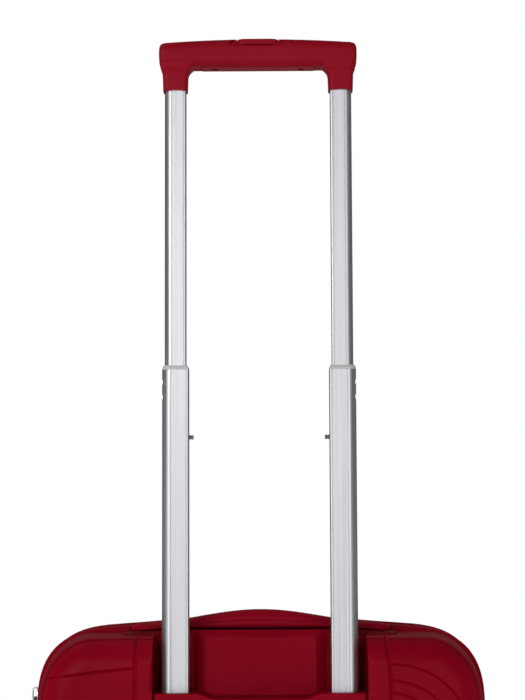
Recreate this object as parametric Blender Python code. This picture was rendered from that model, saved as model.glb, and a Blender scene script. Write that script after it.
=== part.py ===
"""Cabin-size hard shell suitcase on four twin-wheel casters, with a two-stage trolley handle.

+Z is up and the origin is on the floor under the middle of the case. The trolley handle is on the -Y side.
The zip sliders and the lock are on the -X side, and the front half opens like a door about the +X side.
Sizes are in millimetres until add() scales them to metres. The handle is modelled fully pulled out.
"""

import math

import bmesh
import bpy
from mathutils import Matrix, Vector

MM = 0.001
GAP = 0.4  # between two pieces that touch
FAR = 120.0  # how far a cutter reaches past what it cuts

# The two shells. Each has a raised rim beside the zip, and a body that is a little smaller all round.
HALF_WIDTH = 198.0
SHELL_BOTTOM = 56.0
SHELL_TOP = 540.5
TOP_CROWN = 18.0  # how much lower the rim's top is at the sides than in the middle
CORNER_RADIUS = 50.0  # of the two bottom corners
RIM_CORNER, RIM_SQUARENESS = (75.0, 80.0), 0.61  # the top corners: length along x and z, 1 is a true ellipse
BODY_CORNER = (48.0, 57.0)
FACE_Y = 100.0  # the outer faces, front and back
EDGE_RADIUS = 26.0  # where the faces turn into the sides
RIM_Y, STEP_Y = 14.0, 22.5  # the rim's two edges; the zip fills the space between the shells
BODY_CROWN = 2.0
BODY_SIDE, BODY_BOTTOM, BODY_TOP = 3.6, 4.4, 13.3  # how far the body is inside the rim, at the step
DRAFT_SIDE, DRAFT_BOTTOM, DRAFT_TOP = 4.8, 4.6, 0.8  # and how much more, where the faces begin to turn
WALL = 2.5
LOCK_BOSS = ((-46.0, -14.0), (382.5, 466.5))  # the raised place under the lock, in y and z

# The zip
TAPE_FROM_Y, TAPE_TO_Y = 17.3, 0.3
TAPE_INSET, TAPE_THICKNESS = 2.9, 1.4
CHAIN_INSET, CHAIN_WIDTH = 0.5, 3.1
UPPER_SLIDER_Z, LOWER_SLIDER_Z = 466.0, 446.0
UPPER_TAB_DROP = 9.5  # the upper pull tab slants down by this to reach the lock
SLIDER_TOP = 205.0  # how far out the bridge of a slider reaches
HINGE_X = 205.5

# The trolley handle
TUBE_X, TUBE_Y = 72.0, -83.0
INNER_TUBE = (9.35, 5.9)  # half width and half depth, as of every tube here
MID_TUBE = (11.6, 7.5)
TUBE_WALL = 1.2
PIN_GROOVE = (3.8, 2.6)  # depth and half height of the groove that the lock pins move in
PIN_KEYWAY = (4.6, 2.9)
PIN_Z, PIN_RADIUS, PIN_OUT = 696.0, 1.9, 4.0
OUTER_TUBE_Z = (84.4, 472.0)
MID_TUBE_Z = (412.0, 754.1)
COLLAR_Z = (754.5, 758.0)
INNER_TUBE_Z = (690.0, 1014.0)
GRIP_HALF_LENGTH = 86.0
GRIP_Y = (-97.0, -69.0)
GRIP_Z = (1016.0, 1043.3)
GRIP_CROWN = 3.3
LEG_BOTTOM = 997.0
BUTTON_HALF_LENGTH, BUTTON_HALF_WIDTH = 19.0, 8.0
BUTTON_Z = (1030.0, 1045.0)

# The well that the grip folds into
WELL_HALF_WIDTH = 91.0
WELL_BACK_Y = -62.0
WELL_FLOOR, BEZEL_TOP = 472.0, 480.0
SCOOP_HALF_WIDTH, SCOOP_Z = 46.0, 475.5
RIDGE_TOP = 530.0

# The two carry handles. Along, across and up are their own directions, and up is 0 at the shell's surface.
HANDLE_Y = -40.2
SIDE_HANDLE_X, SIDE_HANDLE_Z = 196.0, 245.0
HANDLE_HALF_LENGTH, HANDLE_HALF_WIDTH = 113.0, 12.6
HANDLE_RISE, HANDLE_END_UP = 12.0, -5.5
HANDLE_UNDER = (-9.2, -12.6)  # in the middle and at the ends
HANDLE_POCKET = (119.0, 19.5, -17.0)  # half length, half width, floor
FINGER_POCKET = (50.0, 17.2, -24.0)
LEG_ALONG = (100.0, 110.0)
LEG_HALF_WIDTH, LEG_UP = 5.0, -27.3
SOCKET_UP = -30.8

# The lock
LOCK_Y, LOCK_Z = (-43.0, -15.5), (386.0, 463.0)
LOCK_FACE_X = -200.6
DIAL_X, DIAL_Y, DIAL_RADIUS = -193.5, -29.5, 8.2
DIAL_HALF_THICKNESS = 3.0
DIAL_HEIGHTS = (418.0, 409.0, 400.0)
LOCK_BUTTON_Z = 432.0

# The casters
CASTER_X, CASTER_Y = 156.0, 58.0
CASTER_POCKET_X, CASTER_POCKET_Y, CASTER_POCKET_TOP = 120.0, (24.0, 92.0), 98.0
WHEEL_RADIUS = 22.0
TRAIL = -12.0  # the wheels' axis is this far from the swivel's axis, along Y
AXLE_RADIUS, AXLE_HALF_LENGTH = 3.0, 17.4

# The inside
REAR_LINING_INSET, REAR_LINING_Y = 27.0, 57.0
FRONT_LINING_INSET, FRONT_LINING_Y = 9.0, 88.0
LINING_THICKNESS = 1.2


# ---------------------------------------------------------------- shapes


def on_axis(axis, a, b, along):
    return {"x": (along, a, b), "y": (a, along, b), "z": (a, b, along)}[axis]


def skin(rings, closed):
    mesh = bmesh.new()
    loops = [[mesh.verts.new(point) for point in ring] for ring in rings]
    following = loops[1:] + loops[:1] if closed else loops[1:]
    for first, second in zip(loops, following):
        for i in range(len(first)):
            j = (i + 1) % len(first)
            mesh.faces.new((first[i], first[j], second[j], second[i]))
    if not closed:
        mesh.faces.new(loops[0])
        mesh.faces.new(loops[-1])
    bmesh.ops.recalc_face_normals(mesh, faces=mesh.faces)
    return mesh


def loft(rings):
    """A solid through rings of equal point count, with a flat cap on the first and on the last."""
    return skin(rings, closed=False)


def hoop(rings):
    """A ring-shaped solid: the last ring joins the first."""
    return skin(rings, closed=True)


def prism(outline, axis, low, high):
    return loft([[on_axis(axis, a, b, end) for a, b in outline] for end in (low, high)])


def box(x, y, z):
    return prism([(x[0], y[0]), (x[1], y[0]), (x[1], y[1]), (x[0], y[1])], "z", *z)


def circle(a, b, radius, segments):
    turns = [2 * math.pi * i / segments for i in range(segments)]
    return [(a + radius * math.cos(t), b + radius * math.sin(t)) for t in turns]


def cylinder(axis, a, b, radius, low, high, segments=20):
    return prism(circle(a, b, radius, segments), axis, low, high)


def arc(a, b, radius_a, radius_b, start, end, steps):
    """Points of an elliptical arc from angle start to angle end, in degrees."""
    turns = [math.radians(start + (end - start) * i / steps) for i in range(steps + 1)]
    return [(a + radius_a * math.cos(t), b + radius_b * math.sin(t)) for t in turns]


def rounded(a, b, radius, steps=3):
    """A rectangle with round corners, over the spans a and b."""
    outline = []
    for quarter in range(4):
        corner_a = a[1] - radius if quarter in (0, 3) else a[0] + radius
        corner_b = b[1] - radius if quarter in (0, 1) else b[0] + radius
        start = 90 * quarter
        outline += arc(corner_a, corner_b, radius, radius, start, start + 90, steps)
    return outline


def temporary(mesh):
    data = bpy.data.meshes.new("temporary")
    mesh.to_mesh(data)
    mesh.free()
    made = bpy.data.objects.new("temporary", data)
    bpy.context.scene.collection.objects.link(made)
    return made


def combined(mesh, others, operation):
    for other in others:
        target, tool = temporary(mesh), temporary(other)
        modifier = target.modifiers.new("combine", "BOOLEAN")
        modifier.operation = operation
        modifier.object = tool
        bpy.context.view_layer.update()
        evaluated = target.evaluated_get(bpy.context.evaluated_depsgraph_get())
        mesh = bmesh.new()
        mesh.from_mesh(evaluated.to_mesh())
        for used in (target, tool):
            bpy.data.meshes.remove(used.data)
    return mesh


def cut(mesh, *tools):
    return combined(mesh, tools, "DIFFERENCE")


def joined(mesh, *others):
    return combined(mesh, others, "UNION")


def shared(mesh, other):
    return combined(mesh, [other], "INTERSECT")


# ---------------------------------------------------------------- scene


def clear_scene():
    for old in list(bpy.data.objects):
        bpy.data.objects.remove(old)


def material(name, colour, roughness, metallic=0.0):
    made = bpy.data.materials.new(name)
    made.use_nodes = True
    shader = made.node_tree.nodes["Principled BSDF"]
    shader.inputs["Base Color"].default_value = (*colour, 1.0)
    shader.inputs["Roughness"].default_value = roughness
    shader.inputs["Metallic"].default_value = metallic
    return made


def add_body(name, pivot, parent=None):
    """An empty on a joint's axis. The pieces that move with the joint are its children."""
    made = bpy.data.objects.new(name, None)
    return place(made, pivot, parent)


def place(made, pivot, parent):
    made["pivot"] = pivot
    start = Vector(parent["pivot"]) if parent else Vector()
    made.parent = parent
    made.location = (Vector(pivot) - start) * MM
    bpy.context.scene.collection.objects.link(made)
    return made


def add(name, mesh, finish, parent=None, smooth_below=35.0):
    """Makes the node from a mesh in the case's own place. Its origin is its parent's joint axis."""
    pivot = tuple(parent["pivot"]) if parent else (0.0, 0.0, 0.0)
    bmesh.ops.recalc_face_normals(mesh, faces=mesh.faces)
    mesh.transform(Matrix.Scale(MM, 4) @ Matrix.Translation(-Vector(pivot)))
    data = bpy.data.meshes.new(name)
    mesh.to_mesh(data)
    mesh.free()
    data.shade_smooth()
    data.set_sharp_from_angle(angle=math.radians(smooth_below))
    data.materials.append(finish)
    return place(bpy.data.objects.new(name, data), pivot, parent)


# ---------------------------------------------------------------- shells


def outline(half, low, high, radius, corner, squareness, crown, corner_steps=10, crown_steps=8):
    """A rectangle with round corners and a crowned top, as (x, z)."""
    flat_x, flat_z = half - corner[0], high - corner[1]
    turned = []
    for i in range(corner_steps + 1):
        turn = math.radians(90 * i / corner_steps)
        across = corner[0] * max(math.cos(turn), 0.0) ** squareness
        turned.append((flat_x + across, flat_z + corner[1] * math.sin(turn) ** squareness))
    points = list(turned)
    points += [(flat_x - 2 * flat_x * i / crown_steps, high) for i in range(1, crown_steps)]
    points += [(-x, z) for x, z in reversed(turned)]
    flat = half - radius
    points += arc(-flat, low + radius, radius, radius, 180, 270, 8)
    points += arc(flat, low + radius, radius, radius, 270, 360, 8)
    middle = (SHELL_BOTTOM + SHELL_TOP) / 2
    crowned = []
    for x, z in points:
        height = max(z - middle, 0.0) / (SHELL_TOP - middle)
        crowned.append((x, z - crown * (x / HALF_WIDTH) ** 2 * height))
    return crowned


def case_outline(inset):
    """The rim's outline, moved inwards by inset."""
    half, low, high = HALF_WIDTH - inset, SHELL_BOTTOM + inset, SHELL_TOP - inset
    corner = (RIM_CORNER[0] - inset, RIM_CORNER[1] - inset)
    return outline(half, low, high, CORNER_RADIUS - inset, corner, RIM_SQUARENESS, TOP_CROWN)


def body_outline(inset, draft):
    """The body's outline. draft goes from 0 at the step to 1 where the faces begin to turn."""
    half = HALF_WIDTH - BODY_SIDE - DRAFT_SIDE * draft - inset
    low = SHELL_BOTTOM + BODY_BOTTOM + DRAFT_BOTTOM * draft + inset
    high = SHELL_TOP - BODY_TOP - DRAFT_TOP * draft - inset
    corner = (BODY_CORNER[0] - 2 * draft - inset, BODY_CORNER[1] - 2 * draft - inset)
    return outline(half, low, high, CORNER_RADIUS - 4 * draft - inset, corner, 1.0, BODY_CROWN)


def half_solid(side, inset, rim_y, edge_steps=5):
    """The outer form of one half of the case, from its rim to its face. side is -1 for the rear half."""
    step = STEP_Y - inset
    stations = [(rim_y, case_outline(inset)), (step, case_outline(inset)), (step + 1, body_outline(inset, 0))]
    radius = EDGE_RADIUS - inset
    for i in range(edge_steps + 1):
        turn = math.radians(90 * i / edge_steps)
        turned = inset + radius * (1 - math.cos(turn))
        stations.append((FACE_Y - EDGE_RADIUS + radius * math.sin(turn), body_outline(turned, 1)))
    return loft([[(x, side * y, z) for x, z in points] for y, points in stations])


def caster_pocket(side_x, side_y, margin):
    x = sorted((side_x * (CASTER_POCKET_X - margin), side_x * (HALF_WIDTH + FAR)))
    y = sorted(side_y * end for end in (CASTER_POCKET_Y[0] - margin, CASTER_POCKET_Y[1] + margin))
    return box(x, y, (SHELL_BOTTOM - FAR, CASTER_POCKET_TOP + margin))


def well(margin):
    half = WELL_HALF_WIDTH + margin
    y = (-FACE_Y - FAR, WELL_BACK_Y + margin)
    outline = rounded((-half, half), y, 6.0 + margin)
    return prism(outline, "z", WELL_FLOOR - margin, SHELL_TOP + FAR)


def ridge():
    """The raised ridge between the well and the pocket of the top handle."""
    section = [(-68, 520), (68, 520), (68, 526.5), (60, RIDGE_TOP), (-60, RIDGE_TOP), (-68, 526.5)]
    return prism(section, "y", -70, -55)


def handle_pocket(to_case, margin):
    half_length, half_width, floor = HANDLE_POCKET
    outline = rounded(
        (-half_length - margin, half_length + margin), (-half_width - margin, half_width + margin), 8.0
    )
    return local_prism(outline, floor - margin, FAR, to_case)


def finger_pocket(to_case, margin):
    half_length, half_width, floor = FINGER_POCKET
    outline = rounded(
        (-half_length - margin, half_length + margin), (-half_width - margin, half_width + margin), 8.0
    )
    return local_prism(outline, floor - margin, FAR, to_case)


def socket_hole(to_case, end):
    low, high = LEG_ALONG[0] - 4, LEG_ALONG[1] + 4
    along = sorted((end * low, end * high))
    return local_box(along, (-9, 9), (SOCKET_UP - 20, -5), to_case)


def tube_hole(side):
    """Where an outer tube comes up through the floor of the well."""
    x = sorted((side * (TUBE_X + 13.8), side * (TUBE_X - 18.6)))
    return box(x, (TUBE_Y - 9.7, TUBE_Y + 9.7), (WELL_FLOOR - 20, WELL_FLOOR + 5))


def rear_shell():
    pockets = [caster_pocket(-1, -1, 0), caster_pocket(1, -1, 0), well(0)]
    walls = [caster_pocket(-1, -1, WALL), caster_pocket(1, -1, WALL), well(WALL)]
    holes = [tube_hole(-1), tube_hole(1)]
    for to_case in (TOP_HANDLE, SIDE_HANDLE):
        pockets += [handle_pocket(to_case, 0), finger_pocket(to_case, 0)]
        walls += [handle_pocket(to_case, WALL), finger_pocket(to_case, WALL)]
        holes += [socket_hole(to_case, -1), socket_hole(to_case, 1)]
    lock_y, lock_z = (LOCK_Y[0] + 3, LOCK_Y[1] - 3.5), (LOCK_Z[0] + 6, LOCK_Z[1] - 4)
    holes.append(prism(rounded(lock_y, lock_z, 3.0), "x", -HALF_WIDTH - 20, -HALF_WIDTH + 20))
    boss = prism(rounded(*LOCK_BOSS, 7.0), "x", -HALF_WIDTH, -HALF_WIDTH + 16)
    space = cut(half_solid(-1, WALL, RIM_Y - 1), *walls)
    return cut(joined(half_solid(-1, 0, RIM_Y), boss, ridge()), space, *pockets, *holes)


def front_shell():
    space = cut(half_solid(1, WALL, RIM_Y - 1), caster_pocket(-1, 1, WALL), caster_pocket(1, 1, WALL))
    return cut(half_solid(1, 0, RIM_Y), space, caster_pocket(-1, 1, 0), caster_pocket(1, 1, 0))


# ---------------------------------------------------------------- zip


def zip_tape(side):
    """One tape with its row of teeth, as one hoop round the case."""
    section = [
        (TAPE_INSET, TAPE_FROM_Y),
        (TAPE_INSET, TAPE_TO_Y + CHAIN_WIDTH),
        (CHAIN_INSET, TAPE_TO_Y + CHAIN_WIDTH),
        (CHAIN_INSET, TAPE_TO_Y),
        (TAPE_INSET + TAPE_THICKNESS, TAPE_TO_Y),
        (TAPE_INSET + TAPE_THICKNESS, TAPE_FROM_Y),
    ]
    return hoop([[(x, side * y, z) for x, z in case_outline(inset)] for inset, y in section])


def slider(z):
    plate = prism(rounded((-5.2, 5.2), (z - 8.5, z + 8.5), 2.5), "x", -200.2, -HALF_WIDTH - 0.1)
    bridge = [(-199.5, 7.2), (-203.6, 6.4), (-SLIDER_TOP, 4.6), (-SLIDER_TOP, -4.6), (-203.6, -6.4), (-199.5, -7.2)]
    window = [(-199.4, 5.6), (-202.6, 4.9), (-203.4, 4.0), (-203.4, -4.0), (-202.6, -4.9), (-199.4, -5.6)]
    arch = cut(
        prism([(x, z + up) for x, up in bridge], "y", -1.6, 1.6),
        prism([(x, z + up) for x, up in window], "y", -5, 5),
    )
    return joined(plate, arch)


def puller(z, drop):
    """A flat pull tab. Its narrow neck passes under the slider's bridge, and its end lies on the lock.
    drop is how far down the end is from the neck."""
    half = [(4.2, 2.1), (-5.0, 2.1), (-7.5, 4.2), (-19.5, 4.2), (-21.0, 2.6)]
    outline = half + [(y, -up) for y, up in reversed(half)]
    points = [(y, z + up - drop * min(max((-5.0 - y) / 12.0, 0.0), 1.0)) for y, up in outline]
    return prism(points, "x", -202.7, -201.1)


def hinge_gusset():
    """The fabric strip that joins the halves on the hinge side, lying inside the tapes."""
    x = HALF_WIDTH - TAPE_INSET - TAPE_THICKNESS - GAP
    return box((x - 1.2, x), (-TAPE_FROM_Y, -TAPE_TO_Y), (130, 450))


# ---------------------------------------------------------------- lock


def lock_body():
    flange = prism(rounded(LOCK_Y, LOCK_Z, 5.0), "x", LOCK_FACE_X, -HALF_WIDTH - 0.3)
    block_y, block_z = (LOCK_Y[0] + 3.4, LOCK_Y[1] - 3.9), (LOCK_Z[0] + 6.4, LOCK_Z[1] - 4.4)
    block = prism(rounded(block_y, block_z, 2.6), "x", -HALF_WIDTH - 1, -180)
    spaces = []
    for z in DIAL_HEIGHTS:
        half = DIAL_HALF_THICKNESS + 0.4
        spaces.append(cylinder("z", DIAL_X, DIAL_Y, DIAL_RADIUS + 0.7, z - half, z + half, 24))
    spaces.append(prism(lock_button_outline(0.4), "x", LOCK_FACE_X - 5, -187))
    for z in (UPPER_SLIDER_Z - UPPER_TAB_DROP, LOWER_SLIDER_Z):
        spaces.append(box((LOCK_FACE_X - 5, LOCK_FACE_X + 1.4), (-21.6, -17.0), (z - 3, z + 3)))
    return cut(joined(flange, block), *spaces)


def lock_button_outline(margin):
    y = (DIAL_Y - 6 - margin, DIAL_Y + 6 + margin)
    return rounded(y, (LOCK_BUTTON_Z - 6 - margin, LOCK_BUTTON_Z + 6 + margin), 2.0 + margin)


def lock_button():
    return prism(lock_button_outline(0), "x", LOCK_FACE_X - 1.6, -191)


def lock_dial(z):
    return cylinder("z", DIAL_X, DIAL_Y, DIAL_RADIUS, z - DIAL_HALF_THICKNESS, z + DIAL_HALF_THICKNESS)


# ---------------------------------------------------------------- carry handles


def TOP_HANDLE(along, across, up):
    return (along, HANDLE_Y + across, SHELL_TOP + up)


def SIDE_HANDLE(along, across, up):
    return (-SIDE_HANDLE_X - up, HANDLE_Y + across, SIDE_HANDLE_Z + along)


def local_prism(outline, low, high, to_case):
    return loft([[to_case(along, across, up) for along, across in outline] for up in (low, high)])


def local_box(along, across, up, to_case):
    return local_prism([(a, c) for a, c in rounded(along, across, 0.6, 1)], *up, to_case)


def handle_top(along):
    """How far the handle's back stands out, along its length."""
    turn = math.pi * along / HANDLE_HALF_LENGTH
    return HANDLE_END_UP + HANDLE_RISE * max(0.5 + 0.5 * math.cos(turn), 0.0) ** 1.1


def handle_under(along):
    share = min((along / HANDLE_HALF_LENGTH) ** 4, 1.0)
    return HANDLE_UNDER[0] + (HANDLE_UNDER[1] - HANDLE_UNDER[0]) * share


def carry_handle(to_case):
    rings = []
    for along in (-113, -110, -95, -75, -57, -38, -19, 0, 19, 38, 57, 75, 95, 110, 113):
        shrink = 3.0 if abs(along) == 113 else 0.0
        half = HANDLE_HALF_WIDTH - 2.0 * (along / HANDLE_HALF_LENGTH) ** 2 - shrink
        low, high = handle_under(along), handle_top(along)
        radius = min(0.42 * (high - low), 1.8 + half / 5)
        section = rounded((-half, half), (low + shrink / 8, high - shrink / 8), radius)
        rings.append([to_case(along, across, up) for across, up in section])
    legs = []
    for end in (-1, 1):
        along = sorted(end * place for place in LEG_ALONG)
        legs.append(local_box(along, (-LEG_HALF_WIDTH, LEG_HALF_WIDTH), (LEG_UP, -9.5), to_case))
    return joined(loft(rings), *legs)


def handle_base(to_case):
    """The tray under a carry handle, with a socket at each end for the handle's legs."""
    half_length, half_width, floor = HANDLE_POCKET
    along, across = half_length - GAP, half_width - GAP
    plate = local_prism(rounded((-along, along), (-across, across), 7.6), floor + GAP, 0.0, to_case)
    rings = []
    for place in (-125, -110, -95, -80, -60, 60, 80, 95, 110, 125):
        top = handle_under(place) - GAP
        section = [(-across - 5, floor), (across + 5, floor), (across + 5, top), (-across - 5, top)]
        rings.append([to_case(place, a, b) for a, b in section])
    tray = shared(plate, loft(rings))
    sockets, slots = [], []
    for end in (-1, 1):
        low, high = LEG_ALONG
        outside = sorted((end * (low - 3.5), end * (high + 3.5)))
        inside = sorted((end * (low - GAP), end * (high + GAP)))
        sockets.append(local_box(outside, (-8.5, 8.5), (SOCKET_UP, floor + 2), to_case))
        slots.append(
            local_box(inside, (-LEG_HALF_WIDTH - GAP, LEG_HALF_WIDTH + GAP), (LEG_UP - 1.5, FAR), to_case)
        )
    half_length, half_width, _ = FINGER_POCKET
    opening = local_prism(rounded((-half_length, half_length), (-half_width, half_width), 8.0), -FAR, FAR, to_case)
    return cut(joined(tray, *sockets), opening, *slots)


# ---------------------------------------------------------------- trolley handle


def tube_outline(side, size, slot=None, shift=0.0):
    """A tube's cross-section: flat on the side facing the other tube, round on the outer side.

    side is -1 for the left tube. slot is the depth and half height of a slot in the flat side; a
    negative depth stands out instead.
    """
    half_width, half_depth = size
    bow = 0.6 * half_width
    corner = 1.2
    outline = arc(bow - half_width, 0, bow, half_depth, 90, 270, 8)
    outline += arc(half_width - corner, corner - half_depth, corner, corner, 270, 360, 2)
    if slot:
        depth, half = slot
        outline += [(half_width, -half), (half_width - depth, -half), (half_width - depth, half), (half_width, half)]
    outline += arc(half_width - corner, half_depth - corner, corner, corner, 0, 90, 2)
    return [(side * (TUBE_X - shift - inwards), TUBE_Y + y) for inwards, y in outline]


def grown(size, margin):
    return (size[0] + margin, size[1] + margin)


def inner_tube(side):
    hollow_half = (INNER_TUBE[0] - TUBE_WALL) - (PIN_GROOVE[0] + TUBE_WALL - TUBE_WALL) / 2
    hollow = tube_outline(side, (hollow_half, INNER_TUBE[1] - TUBE_WALL), shift=-PIN_GROOVE[0] / 2)
    low, high = INNER_TUBE_Z
    outside = prism(tube_outline(side, INNER_TUBE, PIN_GROOVE), "z", low, high)
    return cut(outside, prism(hollow, "z", low - 5, high + 5))


def mid_tube(side):
    low, high = MID_TUBE_Z
    outside = prism(tube_outline(side, MID_TUBE), "z", low, high)
    inside = prism(tube_outline(side, grown(MID_TUBE, -TUBE_WALL)), "z", low - 5, high + 5)
    x = sorted((side * TUBE_X, side * (TUBE_X - 2 * MID_TUBE[0])))
    hole = cylinder("x", TUBE_Y, PIN_Z, PIN_RADIUS + 0.35, *x, 16)
    return cut(outside, inside, hole)


def mid_collar(side):
    low, high = COLLAR_Z
    stations = [(low, MID_TUBE), (high - 1.2, MID_TUBE), (high, grown(MID_TUBE, -1.1))]
    outside = loft([[(x, y, z) for x, y in tube_outline(side, size)] for z, size in stations])
    return cut(outside, prism(tube_outline(side, grown(INNER_TUBE, 0.35)), "z", low - 5, high + 5))


def lock_pin(side):
    wall = TUBE_X - MID_TUBE[0]
    x = sorted((side * (wall + TUBE_WALL), side * (wall - PIN_OUT)))
    return cylinder("x", TUBE_Y, PIN_Z, PIN_RADIUS, *x, 16)


def outer_tube(side):
    low, high = OUTER_TUBE_Z
    x = sorted((side * (TUBE_X + 13.4), side * (TUBE_X - 18.2)))
    outside = prism(rounded(x, (TUBE_Y - 9.3, TUBE_Y + 9.3), 2.0), "z", low, high)
    keyway = (-PIN_KEYWAY[0], PIN_KEYWAY[1])
    return cut(outside, prism(tube_outline(side, grown(MID_TUBE, 0.5), keyway), "z", low - 5, high + 5))


def tube_bezel():
    """The floor of the well, with a hole for each tube and a scoop for the fingers."""
    half = WELL_HALF_WIDTH - GAP
    plate = prism(rounded((-half, half), (-FACE_Y + 0.3, WELL_BACK_Y - GAP), 5.0), "z", WELL_FLOOR + GAP, BEZEL_TOP)
    keyway = (-PIN_KEYWAY[0], PIN_KEYWAY[1])
    holes = []
    for side in (-1, 1):
        holes.append(prism(tube_outline(side, grown(MID_TUBE, 0.5), keyway), "z", WELL_FLOOR - 5, BEZEL_TOP + 5))
    ramp = SCOOP_HALF_WIDTH + 8
    scoop = [(-ramp, BEZEL_TOP), (-SCOOP_HALF_WIDTH, SCOOP_Z), (SCOOP_HALF_WIDTH, SCOOP_Z), (ramp, BEZEL_TOP)]
    scoop += [(ramp, BEZEL_TOP + 9), (-ramp, BEZEL_TOP + 9)]
    return cut(plate, prism(scoop, "y", -FACE_Y - FAR, -76), *holes)


def trolley_base():
    """The foot block inside the case that the outer tubes stand in."""
    block = prism(rounded((-94, 94), (-94.8, -70), 3.0), "z", 82, 94)
    sockets = []
    for side in (-1, 1):
        x = sorted((side * (TUBE_X + 13.8), side * (TUBE_X - 18.6)))
        sockets.append(box(x, (TUBE_Y - 9.7, TUBE_Y + 9.7), (84, 100)))
    return cut(block, *sockets)


def grip_leg(side):
    rings = []
    for z, outwards, inwards, half_depth in (
        (LEG_BOTTOM, 10.7, 10.7, 8.0),
        (1008, 11.0, 11.0, 9.0),
        (1013, 11.5, 12.5, 10.5),
        (1016.5, 12.0, 16.0, 12.0),
        (1024, 12.0, 20.0, 12.5),
    ):
        x = sorted((side * (TUBE_X + outwards), side * (TUBE_X - inwards)))
        rings.append([(a, b, z) for a, b in rounded(x, (TUBE_Y - half_depth, TUBE_Y + half_depth), 4.0)])
    return loft(rings)


def grip_solid():
    rings = []
    for x in (-86, -84.6, -81, -40, 0, 40, 81, 84.6, 86):
        shrink = {86: 3.4, 84.6: 1.0}.get(abs(x), 0.0)
        top = GRIP_Z[1] - GRIP_CROWN * (x / GRIP_HALF_LENGTH) ** 2
        y = (GRIP_Y[0] + shrink, GRIP_Y[1] - shrink)
        rings.append([(x, a, b) for a, b in rounded(y, (GRIP_Z[0] + shrink / 2, top - shrink), 8.5, 4)])
    return joined(loft(rings), grip_leg(-1), grip_leg(1))


def button_outline(margin):
    half, width = BUTTON_HALF_LENGTH + margin, BUTTON_HALF_WIDTH + margin
    return rounded((-half, half), (TUBE_Y - width, TUBE_Y + width), width - 0.5, 4)


def cover_span(margin):
    return (-50 - margin, 50 + margin), (TUBE_Y - 8 - margin, TUBE_Y + 8 + margin)


def grip_body():
    room = prism(rounded((-80, 80), (-93, -73), 5.0), "z", GRIP_Z[0] + 3.5, 1036.5)
    sockets = []
    for side in (-1, 1):
        sockets.append(prism(tube_outline(side, grown(INNER_TUBE, 0.35)), "z", LEG_BOTTOM - 5, 1021))
    opening = prism(rounded(*cover_span(0), 3.0), "z", GRIP_Z[0] - 5, 1021)
    button_hole = prism(button_outline(GAP), "z", 1034, 1060)
    recess = prism(button_outline(5.0), "z", 1041.4, 1060)
    return cut(grip_solid(), room, *sockets, opening, button_hole, recess)


def grip_underside():
    return prism(rounded(*cover_span(-GAP), 2.6), "z", GRIP_Z[0] + 0.2, GRIP_Z[0] + 3.2)


def grip_button():
    low, high = BUTTON_Z
    stations = [(low, 0.0), (high - 1.2, 0.0), (high, -1.2)]
    return loft([[(x, y, z) for x, y in button_outline(margin)] for z, margin in stations])


def push_yoke():
    """The bar under the button, with a rod down each inner tube that pulls the lock pins in."""
    rod_x = TUBE_X + PIN_GROOVE[0] / 2
    bar = box((-76, 76), (TUBE_Y - 3.5, TUBE_Y + 3.5), (1024.5, BUTTON_Z[0] - GAP))
    return joined(bar, *[cylinder("z", side * rod_x, TUBE_Y, 1.6, 722, 1026, 10) for side in (-1, 1)])


# ---------------------------------------------------------------- casters


def caster_housing(side_x, side_y):
    pocket = caster_pocket(side_x, side_y, -GAP)
    body = shared(half_solid(side_y, -1.0, RIM_Y), pocket)
    x, y = side_x * CASTER_X, side_y * CASTER_Y
    return cut(body, cylinder("z", x, y, 4.9, 0, 82, 16))


def caster_fork(x, y):
    """The turning part: a disc under the housing, a web between the wheels and a hood over them."""
    axis_y, axis_z = y + TRAIL, WHEEL_RADIUS
    disc = cylinder("z", x, y, 21.0, 47.4, 54.5, 24)
    pin = cylinder("z", x, y, 4.5, 53, 79, 16)
    web = [(y + 12, 49), (axis_y - 16, 49)] + arc(axis_y, axis_z, 8, 8, 190, 350, 6)
    hood = arc(axis_y, axis_z, 26.8, 26.8, 20, 150, 9) + arc(axis_y, axis_z, 24, 24, 150, 20, 9)
    fork = joined(disc, pin, prism(web, "x", x - 5, x + 5), prism(hood, "x", x - 18.3, x + 18.3))
    return cut(fork, cylinder("x", axis_y, axis_z, AXLE_RADIUS + 0.35, x - 30, x + 30, 16))


def caster_axle(x, y):
    return cylinder("x", y + TRAIL, WHEEL_RADIUS, AXLE_RADIUS, x - AXLE_HALF_LENGTH, x + AXLE_HALF_LENGTH, 12)


def wheel(x, y, side):
    """A tyre on its hub, closed on the outer side. The profile is radius and distance from the caster's middle."""
    profile = [(8.5, 19.4), (14, 17.4), (19.5, 17.8), (22, 15.8), (22, 8), (20, 5.9), (3.4, 5.9), (3.4, 17.8)]
    rings = []
    for radius, away in profile:
        ring = circle(y + TRAIL, WHEEL_RADIUS, radius, 16)
        rings.append([(x + side * away, a, b) for a, b in ring])
    return loft(rings)


# ---------------------------------------------------------------- side skids and the inside


def side_skid(side_y):
    """A glide on the hinge side: the case rests on its two pads when it lies down."""
    low, high = HALF_WIDTH - BODY_SIDE + 0.3, HALF_WIDTH - BODY_SIDE + 3.0
    pad = HINGE_X - 0.5
    outline = [(low, 120), (pad - 1.5, 122), (pad, 126), (pad, 158), (pad - 1.5, 162), (high, 168)]
    outline += [(x, 550 - z) for x, z in reversed(outline)]
    y = sorted((side_y * 28, side_y * 46))
    return prism(outline, "y", *y)


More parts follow.
